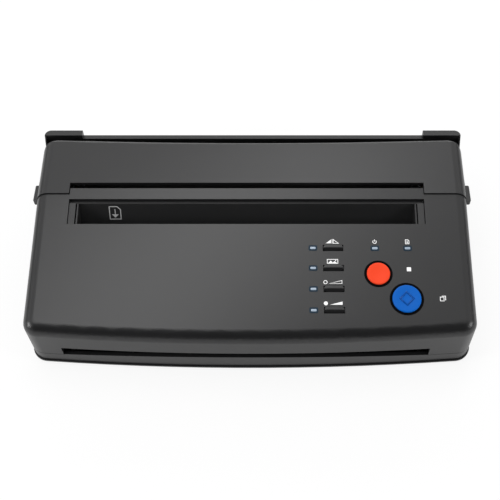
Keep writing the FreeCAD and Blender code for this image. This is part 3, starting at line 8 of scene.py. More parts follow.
# %% Load the frame
import bpy
import bmesh
import json
import math
import numpy as np
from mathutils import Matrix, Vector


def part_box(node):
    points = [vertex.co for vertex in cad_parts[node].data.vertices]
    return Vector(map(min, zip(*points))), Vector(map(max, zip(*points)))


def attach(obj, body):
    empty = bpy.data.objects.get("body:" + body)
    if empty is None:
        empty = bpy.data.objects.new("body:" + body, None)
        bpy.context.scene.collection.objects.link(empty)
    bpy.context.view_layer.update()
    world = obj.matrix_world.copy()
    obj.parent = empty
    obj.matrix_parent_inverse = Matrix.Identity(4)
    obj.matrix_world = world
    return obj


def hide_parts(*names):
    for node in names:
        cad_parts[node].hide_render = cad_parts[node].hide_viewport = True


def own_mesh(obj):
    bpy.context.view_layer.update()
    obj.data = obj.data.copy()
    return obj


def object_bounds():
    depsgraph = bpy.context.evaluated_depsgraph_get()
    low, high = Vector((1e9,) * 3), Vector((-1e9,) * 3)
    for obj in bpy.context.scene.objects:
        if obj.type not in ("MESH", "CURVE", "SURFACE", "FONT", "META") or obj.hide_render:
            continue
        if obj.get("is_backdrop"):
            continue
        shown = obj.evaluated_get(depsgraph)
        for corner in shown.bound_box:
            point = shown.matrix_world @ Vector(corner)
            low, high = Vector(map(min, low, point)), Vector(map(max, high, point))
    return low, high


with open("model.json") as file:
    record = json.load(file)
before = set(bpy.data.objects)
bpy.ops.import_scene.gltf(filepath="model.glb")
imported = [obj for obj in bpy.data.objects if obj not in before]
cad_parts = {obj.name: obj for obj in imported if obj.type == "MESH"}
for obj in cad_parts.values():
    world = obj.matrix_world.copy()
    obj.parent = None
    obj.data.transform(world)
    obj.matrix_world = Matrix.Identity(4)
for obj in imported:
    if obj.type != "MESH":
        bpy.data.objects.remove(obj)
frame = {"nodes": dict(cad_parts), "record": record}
cad_box = [[float(v) for v in corner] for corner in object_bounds()]
print("CAD box in metres:", cad_box)

# %% [markdown]
# ## Camera
# The picture looks down on the machine from the front, 57 degrees above the table, with a moderately long
# lens. The viewpoint comes from fitting the case's outline and its round buttons. A small sideways shift of
# the lens puts the machine where the picture has it, and keeps the verticals of the two sides even.

# %% Camera
MM = 0.001
LOOK_DOWN = math.radians(57)
FOCAL_MM = 63.31
FILM_MM = 36
SIDE_SHIFT = -0.0614
CAMERA_PLACE = (18.42, -309.71, 503.69)

lens = bpy.data.cameras.new("studio_camera")
lens.lens = FOCAL_MM
lens.sensor_width = FILM_MM
lens.shift_x = SIDE_SHIFT
lens.clip_start = 0.01
camera = bpy.data.objects.new("studio_camera", lens)
camera.location = [length * MM for length in CAMERA_PLACE]
camera.rotation_euler = (math.pi / 2 - LOOK_DOWN, 0, 0)
bpy.context.scene.collection.objects.link(camera)
bpy.context.scene.camera = camera
bpy.context.scene.view_settings.view_transform = "Standard"
print("camera stands", round(camera.location.length * 1000), "mm from the middle of the machine's foot")

# %% [markdown]
# ## Colours and nodes
# Colours are written as a painter reads them, in sRGB hex, and one function turns them into the linear
# light that the renderer adds up. A second small function adds a node, so that each material below reads as
# a short recipe.

# %% Colour and node helpers
def linear(code):
    """sRGB hex to linear light: c / 12.92 up to 0.04045, above it ((c + 0.055) / 1.055) to the power 2.4."""
    c = np.array([int(code[i:i + 2], 16) for i in (1, 3, 5)]) / 255
    light = np.where(c <= 0.04045, c / 12.92, ((c + 0.055) / 1.055) ** 2.4)
    return (*light.tolist(), 1.0)


def add(tree, kind, links=None, **settings):
    """Adds one node. Settings name its own properties. Links gives each socket a value or an output."""
    new = tree.nodes.new("ShaderNode" + kind)
    for key, value in settings.items():
        setattr(new, key, value)
    for socket, value in (links or {}).items():
        if isinstance(value, bpy.types.NodeSocket):
            tree.links.new(value, new.inputs[socket])
        else:
            new.inputs[socket].default_value = value
    return new


print("panel grey in linear light:", [round(v, 3) for v in linear("#5A5B5D")[:3]])

# %% [markdown]
# ## Floor, cards and light
# The machine is photographed on plain white. The floor is white for the camera and for reflections, and
# still takes a soft share of the real shading, so the machine keeps its shadow. Black plastic is lit by
# what it mirrors, so one soft lamp hangs above and a little behind, strips of light stand low at the sides
# and the back, and a small lamp shines on each front corner, where the rounded edges mirror them. Dark
# cards that only reflections see stand in front and at both sides. The front one gives the black band where
# the panel rolls over into the front.

# %% Floor
def white_surround(name, share, mirrored):
    """White for camera and transmission rays by one share, for glossy rays by another, else matt white."""
    material = bpy.data.materials.new(name)
    material.use_nodes = True
    tree = material.node_tree
    tree.nodes.clear()
    path = add(tree, "LightPath")
    glossy = add(tree, "Math", {0: path.outputs["Is Glossy Ray"], 1: mirrored}, operation="MULTIPLY")
    seen = add(tree, "Math", {0: path.outputs["Is Camera Ray"], 1: path.outputs["Is Transmission Ray"]},
               operation="MAXIMUM")
    straight = add(tree, "Math", {0: seen.outputs[0], 1: share}, operation="MULTIPLY")
    factor = add(tree, "Math", {0: straight.outputs[0], 1: glossy.outputs[0]}, operation="MAXIMUM")
    matt = add(tree, "BsdfDiffuse", {"Color": linear("#F4F4F4")})
    glow = add(tree, "Emission", {"Color": linear("#FFFFFF"), "Strength": 1.0})
    mix = add(tree, "MixShader", {0: factor.outputs[0], 1: matt.outputs[0], 2: glow.outputs[0]})
    add(tree, "OutputMaterial", {"Surface": mix.outputs[0]})
    return material


def flat_card(name, corners, material):
    """A sheet of studio card from its four corners, in metres."""
    mesh = bpy.data.meshes.new(name)
    mesh.from_pydata(corners, [], [(0, 1, 2, 3)])
    card = bpy.data.objects.new(name, mesh)
    mesh.materials.append(material)
    bpy.context.scene.collection.objects.link(card)
    card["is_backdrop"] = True
    return card


FLOOR_HALF = 4
FLOOR_SEEN = 0.85
FLOOR_MIRRORED = 0.3
CORNERS = [(-1, -1, 0), (1, -1, 0), (1, 1, 0), (-1, 1, 0)]
floor_white = white_surround("white_floor", FLOOR_SEEN, FLOOR_MIRRORED)
flat_card("floor", (FLOOR_HALF * np.array(CORNERS)).tolist(), floor_white)
print("floor laid at z = 0")

# %% Dark cards
def black_card_stock():
    """Matt black card: felted paper fibre, so it mirrors nothing back."""
    material = bpy.data.materials.new("black_card")
    material.use_nodes = True
    tree = material.node_tree
    shader = tree.nodes["Principled BSDF"]
    shader.inputs["Base Color"].default_value = linear("#0A0A0A")
    shader.inputs["Roughness"].default_value = 1.0
    return material


def unseen_card(name, corners):
    """A dark card that only reflections see."""
    card = flat_card(name, corners, card_stock)
    card.visible_camera = False
    card.visible_diffuse = False
    card.visible_shadow = False
    card.visible_transmission = False


card_stock = black_card_stock()
FRONT_CARD = [(-1.5, -1.2, 0.10), (1.5, -1.2, 0.10), (1.1, -0.18, 1.50), (-1.1, -0.18, 1.50)]
SIDE_CARD = np.array([(1.7, -1.2, 0.02), (1.7, 1.4, 0.02), (1.6, 1.4, 0.9), (1.6, -1.2, 0.9)])
unseen_card("front_card", FRONT_CARD)
for side, name in ((-1, "left_card"), (1, "right_card")):
    unseen_card(name, (SIDE_CARD * (side, 1, 1)).tolist())
print("dark cards: one in front and one at each side")

# %% Lamps and world
def soft_lamp(name, size, place, aim, watts):
    """A rectangular lamp of the given size in metres, turned to face a point."""
    light = bpy.data.lights.new(name, "AREA")
    light.shape = "RECTANGLE"
    light.size, light.size_y = size
    light.energy = watts
    lamp = bpy.data.objects.new(name, light)
    lamp.location = place
    direction = np.array(aim, float) - np.array(place, float)
    turn = math.atan2(direction[1], direction[0])
    tilt = math.acos(-direction[2] / np.linalg.norm(direction))
    lamp.rotation_euler = (tilt, 0, turn - math.pi / 2)
    bpy.context.scene.collection.objects.link(lamp)


MIDDLE = (0.0, 0.0, 0.05)
# Each lamp: size and place in metres, the point it faces, and its power in watts
LAMPS = {
    "overhead_softbox": ((1.6, 0.30), (-0.24, 0.19, 1.35), MIDDLE, 6.4),
    "left_strip": ((1.5, 0.16), (-1.15, 0.15, 0.46), MIDDLE, 1.6),
    "right_strip": ((1.5, 0.16), (1.15, 0.15, 0.46), MIDDLE, 1.1),
    "left_corner_lamp": ((0.36, 0.36), (-1.2, -0.40, 0.50), (-0.13, -0.06, 0.03), 5.0),
    "right_corner_lamp": ((0.36, 0.36), (1.2, -0.40, 0.50), (0.13, -0.06, 0.03), 4.0),
    "back_strip": ((2.2, 0.35), (0.0, 1.20, 0.62), MIDDLE, 8.0)}
for name, (size, place, aim, watts) in LAMPS.items():
    soft_lamp(name, size, place, aim, watts)

ROOM_LIGHT = 0.6
world = bpy.data.worlds.new("white_studio")
bpy.context.scene.world = world
world.use_nodes = True
sky = world.node_tree
sky.nodes.clear()
path = add(sky, "LightPath")
seen = add(sky, "Math", {0: path.outputs["Is Camera Ray"], 1: path.outputs["Is Glossy Ray"]},
           operation="MAXIMUM")
seen = add(sky, "Math", {0: seen.outputs[0], 1: path.outputs["Is Transmission Ray"]}, operation="MAXIMUM")
room = add(sky, "Background", {"Color": linear("#FFFFFF"), "Strength": ROOM_LIGHT})
white = add(sky, "Background", {"Color": linear("#FFFFFF"), "Strength": 1.0})
mixed = add(sky, "MixShader", {0: seen.outputs[0], 1: room.outputs[0], 2: white.outputs[0]})
add(sky, "OutputWorld", {"Surface": mixed.outputs[0]})
print("lit by", len(bpy.data.lights), "lamps and a plain white room")

# %% [markdown]
# ## Finishes
# Nearly everything that shows is injection-moulded plastic. Its mould is spark-eroded, which leaves a fine,
# even grain of about half a millimetre: too small to see as bumps, but it spreads the mirrored light to a
# satin sheen. The recipe mixes two close blacks over a few centimetres, as moulded parts flow unevenly, and
# adds the grain as bump.

# %% Moulded plastics
def recipe(name):
    """An empty material, its tree and the place in metres on the piece."""
    material = bpy.data.materials.new(name)
    material.use_nodes = True
    tree = material.node_tree
    tree.nodes.clear()
    return material, tree, add(tree, "TexCoord").outputs["Object"]


def moulded(name, dark, light, roughness, grain_mm, relief_mm, ior=1.54, sheen=0.5, patch_mm=40.0):
    """Injection-moulded plastic: two close colours in large soft patches, with a fine grain as bump."""
    material, tree, place = recipe(name)
    patches = add(tree, "TexNoise", {"Vector": place, "Scale": 1 / (patch_mm * MM), "Detail": 3.0,
                                     "Roughness": 0.6})
    colour = add(tree, "Mix", {0: patches.outputs["Fac"], 6: linear(dark), 7: linear(light)},
                 data_type="RGBA")
    grain = add(tree, "TexNoise", {"Vector": place, "Scale": 1 / (grain_mm * MM), "Detail": 2.0})
    bump = add(tree, "Bump", {"Height": grain.outputs["Fac"], "Strength": 0.5, "Distance": relief_mm * MM})
    gloss = add(tree, "MapRange", {"Value": grain.outputs["Fac"], 3: roughness - 0.04, 4: roughness + 0.04})
    shader = add(tree, "BsdfPrincipled", {"Base Color": colour.outputs[2], "Roughness": gloss.outputs[0],
                                          "Normal": bump.outputs[0]})
    shader.inputs["IOR"].default_value = ior
    shader.inputs["Specular IOR Level"].default_value = sheen
    add(tree, "OutputMaterial", {"Surface": shader.outputs[0]})
    return material


# Black ABS, spark-eroded mould: a satin black that greys under a wide lamp
black_abs = moulded("black_abs_satin", "#161617", "#1C1C1D", 0.34, 0.5, 0.02, sheen=0.42)
# The same ABS on inner faces and the chute, polished a little less in the tool
dull_abs = moulded("black_abs_dull", "#141415", "#1A1A1B", 0.52, 0.8, 0.03)
# The power rocker: smooth black ABS, a touch shinier where fingers press
key_abs = moulded("key_black_smooth", "#0E0E0F", "#151516", 0.32, 0.4, 0.01)
# The diamond's darker blue is painted shade: the same plastic, darker and smoother
shaded_blue_abs = moulded("blue_abs_painted_shade", "#02428C", "#024A96", 0.25, 0.5, 0.02, sheen=0.12)
# Matt black ring round each button: painted shade, standing for the shadow in the gap
gap_shade_black = moulded("gap_painted_shade_matt", "#040405", "#08080A", 0.85, 0.5, 0.01, sheen=0.05)
# Button caps: coloured ABS with a fine satin face
red_abs = moulded("button_red_satin", "#E63E1C", "#EE4620", 0.45, 0.4, 0.01, sheen=0.15, patch_mm=12.0)
blue_abs = moulded("button_blue_satin", "#0357AE", "#035DB8", 0.38, 0.4, 0.01, sheen=0.12, patch_mm=12.0)
# Acetal for the gears: milky, slightly waxy
acetal = moulded("gear_acetal_milky", "#DCDAD0", "#E6E4DA", 0.38, 0.6, 0.01, ior=1.48)
# Nylon standoffs: cream and a little translucent to the eye
nylon = moulded("nylon_cream", "#D8D2C0", "#E2DCCB", 0.45, 0.6, 0.01, ior=1.53)
print("materials so far:", len(bpy.data.materials))

# %% [markdown]
# ## Rubber, metal, glass and board
# The rollers are ground rubber, which shows faint rings round the axis. Shafts are turned and ground steel,
# side frames are rolled sheet with a long brush line. The circuit boards carry copper traces under green
# lacquer.

# %% Rubber
def ground_rubber(name, dark, light, ring_mm, roughness):
    """Rubber ground on a lathe: faint rings across X, and a matt bloom."""
    material, tree, place = recipe(name)
    squeeze = add(tree, "Mapping", {"Vector": place, "Scale": (1.0, 0.05, 0.05)})
    rings = add(tree, "TexNoise", {"Vector": squeeze.outputs[0], "Scale": 1 / (ring_mm * MM), "Detail": 2.0})
    bloom = add(tree, "TexNoise", {"Vector": place, "Scale": 60.0, "Detail": 4.0})
    colour = add(tree, "Mix", {0: bloom.outputs["Fac"], 6: linear(dark), 7: linear(light)}, data_type="RGBA")
    bump = add(tree, "Bump", {"Height": rings.outputs["Fac"], "Strength": 0.4, "Distance": 0.03 * MM})
    shader = add(tree, "BsdfPrincipled", {"Base Color": colour.outputs[2], "Normal": bump.outputs[0]})
    shader.inputs["Roughness"].default_value = roughness
    shader.inputs["IOR"].default_value = 1.52
    add(tree, "OutputMaterial", {"Surface": shader.outputs[0]})
    return material


# Nitrile sleeve of the platen and feed rollers
roller_rubber = ground_rubber("nitrile_ground", "#191919", "#242424", 1.0, 0.62)
# White backing roller of the scanner
white_rubber = ground_rubber("white_silicone", "#E2E0DA", "#ECEAE5", 1.0, 0.55)
# Feet: soft black rubber, dusty
foot_rubber = ground_rubber("foot_rubber_matt", "#131313", "#202020", 2.0, 0.8)
print("materials with the rubbers:", len(bpy.data.materials))

# %% Metals
def brushed(name, dark, light, roughness, line_mm, along=(0.04, 1.0, 1.0)):
    """Metal with fine lines: noise stretched along one axis moves the gloss and a little of the colour."""
    material, tree, place = recipe(name)
    stretch = add(tree, "Mapping", {"Vector": place, "Scale": along})
    lines = add(tree, "TexNoise", {"Vector": stretch.outputs[0], "Scale": 1 / (line_mm * MM), "Detail": 3.0})
    colour = add(tree, "Mix", {0: lines.outputs["Fac"], 6: linear(dark), 7: linear(light)}, data_type="RGBA")
    gloss = add(tree, "MapRange", {"Value": lines.outputs["Fac"], 3: roughness - 0.06, 4: roughness + 0.08})
    bump = add(tree, "Bump", {"Height": lines.outputs["Fac"], "Strength": 0.2, "Distance": 0.01 * MM})
    shader = add(tree, "BsdfPrincipled", {"Base Color": colour.outputs[2], "Roughness": gloss.outputs[0],
                                          "Normal": bump.outputs[0]})
    shader.inputs["Metallic"].default_value = 1.0
    add(tree, "OutputMaterial", {"Surface": shader.outputs[0]})
    return material


# Bright ground steel: shafts, pins and screws
steel = brushed("ground_steel", "#A9ABAE", "#BCBEC1", 0.28, 0.6, (1.0, 0.05, 0.05))
# Zinc-plated sheet steel: side frames
frame_steel = brushed("zinc_plated_sheet", "#9A9EA0", "#B1B4B4", 0.36, 0.7, (1.0, 0.05, 1.0))
# Brass pinion, hobbed
brass = brushed("pinion_brass", "#B08D4A", "#C7A45C", 0.3, 0.5)
# Sintered bronze bushes, porous and oily
bronze = brushed("sintered_bronze", "#7C5A36", "#96703F", 0.42, 0.5, (1.0, 1.0, 1.0))
# Extruded aluminium heat sink of the print head
aluminium = brushed("extruded_aluminium", "#B4B6B8", "#C9CBCC", 0.34, 0.8)
print("materials with the metals:", len(bpy.data.materials))

# %% Glass, ceramic, lacquered board
PIN_PITCH = 1.27
WAVE_BANDS = 20


def clear_part(name, tint, roughness, ior):
    """Clear moulded or drawn glass: light passes through, with a trace of flow in its gloss."""
    material, tree, place = recipe(name)
    flow = add(tree, "TexNoise", {"Vector": place, "Scale": 120.0, "Detail": 1.0})
    gloss = add(tree, "MapRange", {"Value": flow.outputs["Fac"], 3: roughness, 4: roughness + 0.05})
    shader = add(tree, "BsdfPrincipled", {"Roughness": gloss.outputs[0]})
    shader.inputs["Base Color"].default_value = linear(tint)
    shader.inputs["IOR"].default_value = ior
    shader.inputs["Transmission Weight"].default_value = 0.9
    add(tree, "OutputMaterial", {"Surface": shader.outputs[0]})
    return material


def lacquered_board(name):
    """Green solder lacquer over copper: straight traces, one pin pitch apart, show as a lighter green."""
    material, tree, place = recipe(name)
    coarse = add(tree, "TexVoronoi", {"Vector": place, "Scale": 1 / (4 * PIN_PITCH * MM)},
                 distance="CHEBYCHEV")
    tracks = add(tree, "TexWave", {"Vector": place, "Scale": 1 / (WAVE_BANDS * PIN_PITCH * MM),
                                   "Distortion": 0.0}, bands_direction="Y")
    step = add(tree, "MapRange", {"Value": tracks.outputs["Fac"], 1: 0.62, 2: 0.68})
    area = add(tree, "MapRange", {"Value": coarse.outputs["Distance"], 1: 0.28, 2: 0.32})
    shown = add(tree, "Math", {0: step.outputs[0], 1: area.outputs[0]}, operation="MULTIPLY")
    colour = add(tree, "Mix", {0: shown.outputs[0], 6: linear("#0F4A2C"), 7: linear("#1E6B40")},
                 data_type="RGBA")
    shader = add(tree, "BsdfPrincipled", {"Base Color": colour.outputs[2]})
    shader.inputs["Roughness"].default_value = 0.3
    add(tree, "OutputMaterial", {"Surface": shader.outputs[0]})
    return material


scan_glass = clear_part("scanner_glass", "#F0F6F4", 0.02, 1.52)
# Clear epoxy of the small lamps
lamp_epoxy = clear_part("lamp_epoxy", "#EEF2F4", 0.08, 1.55)
# Polycarbonate light window, frosted inside, so it looks pale blue-grey while its lamp is off
window_clear = moulded("window_frosted", "#8494A6", "#A4B3C2", 0.25, 0.6, 0.01, ior=1.58)
# Dark blue-grey mask round each window: painted shade of the recess round the lens
window_recess_shade = moulded("window_recess_shade", "#1B2A36", "#243542", 0.7, 0.5, 0.01, sheen=0.12)
# Alumina strip of the print head, glazed
ceramic = moulded("glazed_alumina", "#CFCBC0", "#DEDAD0", 0.22, 0.8, 0.005, ior=1.7)
# Sensor bar and switch bodies: matt glass-filled black
sensor_black = moulded("glass_filled_black", "#17181A", "#1F2022", 0.6, 0.7, 0.03)
board_green = lacquered_board("lacquered_board")
# Screen-printed white ink of the key marks
ink = moulded("printed_white_ink", "#EDEDED", "#F7F7F7", 0.6, 0.3, 0.005)
# Pale grey ink of the paper mark in the hopper
pale_ink = moulded("printed_grey_ink", "#9A9A9A", "#A8A8A8", 0.6, 0.3, 0.005)
print("materials made:", len(bpy.data.materials))

# %% [markdown]
# ## Meshes from arrays
# New pieces are worked out as whole arrays. A piece is one or more grids of points: each row is a ring, the
# rings follow each other, and both ends close on a pole. A flat face, a button and a key are all such
# stacks of rings.

# %% From rings to a mesh
def ring_faces(rows, columns, start, closed):
    """Faces of a stack of closed rings, with a pole before the first and after the last unless the stack
    closes on itself. Face (r, c) joins corners (r, c), (r, c+1), (r+1, c+1) and (r+1, c), with c wrapping
    round."""
    r, c = np.meshgrid(np.arange(rows - 1), np.arange(columns), indexing="ij")
    n = (c + 1) % columns
    quads = np.stack([r * columns + c, r * columns + n, (r + 1) * columns + n, (r + 1) * columns + c], -1)
    if closed:
        return (quads.reshape(-1, 4) + start).tolist()
    i = np.arange(columns)
    j = (i + 1) % columns
    low, high = rows * columns, rows * columns + 1
    last = (rows - 1) * columns
    fans = np.concatenate([np.stack([j, i, np.full(columns, low)], -1),
                           np.stack([last + i, last + j, np.full(columns, high)], -1)])
    return (quads.reshape(-1, 4) + start).tolist() + (fans + start).tolist()


def stacked(grids):
    """Vertices and faces of several stacks of rings. Each grid is (rows, columns, 3), and its poles are the
    means of its end rings. A grid whose last ring repeats its first has no poles: it closes on itself like
    a tyre."""
    points, faces, start = [], [], 0
    for grid in grids:
        rows, columns, _ = grid.shape
        closed = np.allclose(grid[0], grid[-1])
        poles = [] if closed else [grid[0].mean(0)[None], grid[-1].mean(0)[None]]
        faces += ring_faces(rows, columns, start, closed)
        points.append(np.concatenate([grid.reshape(-1, 3)] + poles))
        start += len(points[-1])
    return np.concatenate(points), faces


def make_piece(name, grids, material, body, replaces=(), smooth_below=40.0):
    """Puts stacks of rings, in metres, into one piece that rides on a body, its faces turned outwards."""
    points, faces = stacked(grids)
    mesh = bpy.data.meshes.new(name)
    mesh.from_pydata(points.tolist(), [], faces)
    tidy = bmesh.new()
    tidy.from_mesh(mesh)
    bmesh.ops.remove_doubles(tidy, verts=tidy.verts, dist=1e-6)
    bmesh.ops.recalc_face_normals(tidy, faces=tidy.faces)
    tidy.to_mesh(mesh)
    tidy.free()
    mesh.shade_smooth()
    mesh.set_sharp_from_angle(angle=math.radians(smooth_below))
    mesh.materials.append(material)
    piece = bpy.data.objects.new(name, mesh)
    bpy.context.scene.collection.objects.link(piece)
    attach(piece, body)
    if replaces:
        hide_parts(*replaces)
    return piece


print("helpers ready: every piece is a stack of rings with closed ends")

# %% [markdown]
# ## The moulded shells
# The case, panel, lid and chute have the right shape already, but the CAD model hands them over as loose
# triangles, which shade flat. A merged copy takes their place: equal corners are joined, gentle bends are
# shaded smooth, and large faces count for more in the corner normals, so that flat areas stay flat next to
# their rounds.

# %% Merged copies of CAD nodes
BODY_OF = {node: body for body, nodes in frame["record"]["behaviour"]["bodies"].items() for node in nodes}


def merged_skin(node, material, smooth_below=32.0):
    """A copy of a CAD node with merged doubles: corners are rounded to 10 nanometres and numbered once."""
    source = frame["nodes"][node].data
    place = np.empty(len(source.vertices) * 3)
    source.vertices.foreach_get("co", place)
    corners = np.empty(len(source.loops), int)
    source.loops.foreach_get("vertex_index", corners)
    points, number = np.unique(np.round(place.reshape(-1, 3), 8), axis=0, return_inverse=True)
    triangles = number.reshape(-1)[corners].reshape(-1, 3)
    a, b, c = triangles.T
    whole = (a != b) & (b != c) & (a != c)
    mesh = bpy.data.meshes.new(node + "_skin")
    mesh.from_pydata(points.tolist(), [], triangles[whole].tolist())
    mesh.shade_smooth()
    mesh.set_sharp_from_angle(angle=math.radians(smooth_below))
    mesh.materials.append(material)
    skin = bpy.data.objects.new(mesh.name, mesh)
    bpy.context.scene.collection.objects.link(skin)
    even = skin.modifiers.new("even_normals", "WEIGHTED_NORMAL")
    even.keep_sharp = True
    even.weight = 90
    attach(skin, BODY_OF[node])
    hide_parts(node)


FINISHES = [
    (black_abs, ["lower_case", "front_cover", "rear_cover", "left_latch", "right_latch"]),
    (dull_abs, ["document_chute", "separation_bar", "document_guide"]),
    (key_abs, ["power_rocker"]),
    (sensor_black, ["image_sensor", "key_switches", "power_socket", "switch_housing"]),
    (roller_rubber, ["platen_roller", "feed_roller"]),
    (white_rubber, ["scan_roller"]),
    (foot_rubber, ["separation_pad"]),
    (steel, ["platen_shaft", "feed_shaft", "scan_shaft", "motor_shaft", "hinge_pins", "latch_pins",
             "idler_studs", "board_screws", "main_board_screws", "case_screws"]),
    (frame_steel, ["left_side_frame", "right_side_frame", "stepper_motor"]),
    (bronze, ["shaft_bushes"]),
    (aluminium, ["print_head"]),
    (ceramic, ["heater_strip"]),
    (acetal, ["platen_gear", "feed_gear", "scan_gear", "large_idler_gear", "small_idler_gear"]),
    (brass, ["motor_pinion"]),
    (nylon, ["board_standoffs"]),
    (scan_glass, ["scan_glass"]),
    (lamp_epoxy, ["key_lamps"]),
    (board_green, ["key_board", "main_board"])]
for material, nodes in FINISHES:
    for node in nodes:
        merged_skin(node, material)
print("merged skins:", sum(len(nodes) for _, nodes in FINISHES),
      "and the lid's has", len(bpy.data.meshes["rear_cover_skin"].polygons), "triangles")

# %% [markdown]
# ## Things on the panel
# Keys, buttons and light windows stand square to the panel, which slopes 10.6 degrees. They are drawn about
# the origin with Z out of the panel, and one function carries them to their place.

# %% The panel's own frame
SLOPE = math.radians(10.6)
PANEL_EDGE_Y = -72.5
PANEL_EDGE_Z = 40.0


def tilted(points, x, y, z, slope):
    """Local (u, v, w) in mm to metres in the machine: x + u, y + v cos a - w sin a, z + v sin a + w cos a.
    So u runs to the right, v up the slope a, and w out of it."""
    u, v, w = np.moveaxis(np.asarray(points, float), -1, 0)
    return MM * np.stack([x + u, y + v * math.cos(slope) - w * math.sin(slope),
                          z + v * math.sin(slope) + w * math.cos(slope)], -1)


def on_panel(points, x, y):
    """Places local points at (x, y) of the panel, whose height is its edge's plus the run times tan a."""
    return tilted(points, x, y, PANEL_EDGE_Z + (y - PANEL_EDGE_Y) * math.tan(SLOPE), SLOPE)


def rounded_ring(half_x, half_y, radius, height, steps=8):
    """One ring of a rectangle with round corners: x = sx (hx - r) + r cos t and y = sy (hy - r) + r sin t,
    where sx and sy are the signs of the quarter that t is in. The straight sides join the quarters."""
    quarter = np.linspace(0, math.pi / 2, steps)
    t = np.concatenate([quarter + k * math.pi / 2 for k in range(4)])
    sx = np.repeat([1, -1, -1, 1], steps)
    sy = np.repeat([1, 1, -1, -1], steps)
    radius = min(radius, half_x, half_y)
    x = sx * (half_x - radius) + radius * np.cos(t)
    y = sy * (half_y - radius) + radius * np.sin(t)
    return np.stack([x, y, np.full(len(t), height)], -1)


def turned(profile, steps=64):
    """A lathe: each (radius, height) of the profile becomes a ring of points (r cos t, r sin t, h)."""
    r, h = np.asarray(profile, float).T
    t = np.linspace(0, 2 * math.pi, steps, endpoint=False)
    return np.stack([r[:, None] * np.cos(t), r[:, None] * np.sin(t), np.repeat(h[:, None], steps, 1)], -1)


print("panel height at the hopper's edge:", round(float(on_panel([0, 0, 0], 0, 1.7)[2]) * 1000, 1), "mm")

# %% [markdown]
# ## The four small keys
# Each key is a low bar with round ends and soft upper edges. The rear half of its top lies level with the
# panel's slope and looks as light as the panel, while the front half falls away, so that it looks black and
# a finger finds it. Below the panel it spreads into a flange that keeps it from falling out, and a stem
# that meets its switch.

# %% Keys
KEYS = {"mirror_key": -14.2, "photo_key": -27.2, "light_tone_key": -40.5, "dark_tone_key": -53.8}
KEY_X = 50.6
KEY_HALF = (6.1, 1.8)
KEY_EDGE = 0.35
KEY_WALL = 0.2
KEY_CORNER = 1.5
KEY_FOOT = -4.9
FALL = 0.75
FALL_START = 0.1
STEM_R = 1.6
FLANGE_LOW, FLANGE_HIGH = -3.75, -2.75
KEY_FLANGE = 1.0
KEY_FLANGE_CORNER = 0.6


def key_cap():
    """Rings of one key from its stem up. Above the panel the rings shrink by r (1 - cos t) while they rise
    by r sin t. In front of a line near the middle the top falls by FALL times the distance from that line."""
    hx, hy = KEY_HALF
    t = np.linspace(0.2, math.pi / 2, 6)
    round_edge = np.stack([KEY_EDGE * (1 - np.cos(t)), KEY_WALL + KEY_EDGE * np.sin(t)], -1)
    flat_top = [(inset, KEY_WALL + KEY_EDGE) for inset in (0.8, 1.2, 1.6, hy - 0.02)]
    levels = [(0.0, FLANGE_HIGH), (0.0, KEY_WALL), *round_edge.tolist(), *flat_top]
    rings = np.stack([rounded_ring(hx - inset, hy - inset, KEY_CORNER, h, 10) for inset, h in levels])
    above = rings[..., 2] > 0
    rings[..., 2] += above * np.minimum(rings[..., 1] - FALL_START, 0) * FALL
    wide = (hx + KEY_FLANGE, hy + KEY_FLANGE, KEY_FLANGE_CORNER)
    flange = np.stack([rounded_ring(*wide, h) for h in (FLANGE_LOW, FLANGE_HIGH)])
    stem = turned([(STEM_R, KEY_FOOT), (STEM_R, FLANGE_LOW)], 24)
    return [stem, flange, rings]


for name, y in KEYS.items():
    grids = [on_panel(grid, KEY_X, y) for grid in key_cap()]
    make_piece(name + "_cap", grids, black_abs, name, (name,), 30.0)
print("keys:", len(KEYS), "each", 2 * KEY_HALF[0], "by", 2 * KEY_HALF[1], "mm")

# %% [markdown]
# ## The red and the blue button
# Both are turned shapes: a straight skirt, a soft rim and a face that sinks slightly towards the middle,
# where a finger rests. A matt black ring round each is painted shade: it stands for the shadow in the gap.
# The blue one has a raised diamond, the usual sign for start, as a low ridge along a square path.

# %% Buttons
CAP_TOP = 1.1
CAP_RIM = 0.6
CAP_DISH = 0.3
CAP_FOOT = -4.4
CAP_STEM = [(STEM_R, CAP_FOOT), (STEM_R, FLANGE_LOW)]
CAP_FLANGE = 1.9


def button_profile(radius):
    """(radius, height) of a cap from its stem to the middle of its dished face. The rim is a quarter round,
    and the face drops by CAP_DISH (1 - cos(pi s)) / 2, where s is the share of the way from the rim to the
    middle."""
    t = np.linspace(0, math.pi / 2, 7)
    inner = radius - CAP_RIM
    edge = np.stack([inner + CAP_RIM * np.cos(t), CAP_TOP - CAP_RIM + CAP_RIM * np.sin(t)], -1)
    s = np.linspace(0.05, 0.98, 12)
    face = np.stack([inner * (1 - s), CAP_TOP - CAP_DISH / 2 * (1 - np.cos(math.pi * s))], -1)
    wide = radius + CAP_FLANGE
    flange = [(wide, FLANGE_LOW), (wide, FLANGE_HIGH), (radius, FLANGE_HIGH)]
    return np.concatenate([CAP_STEM, flange, edge, face])


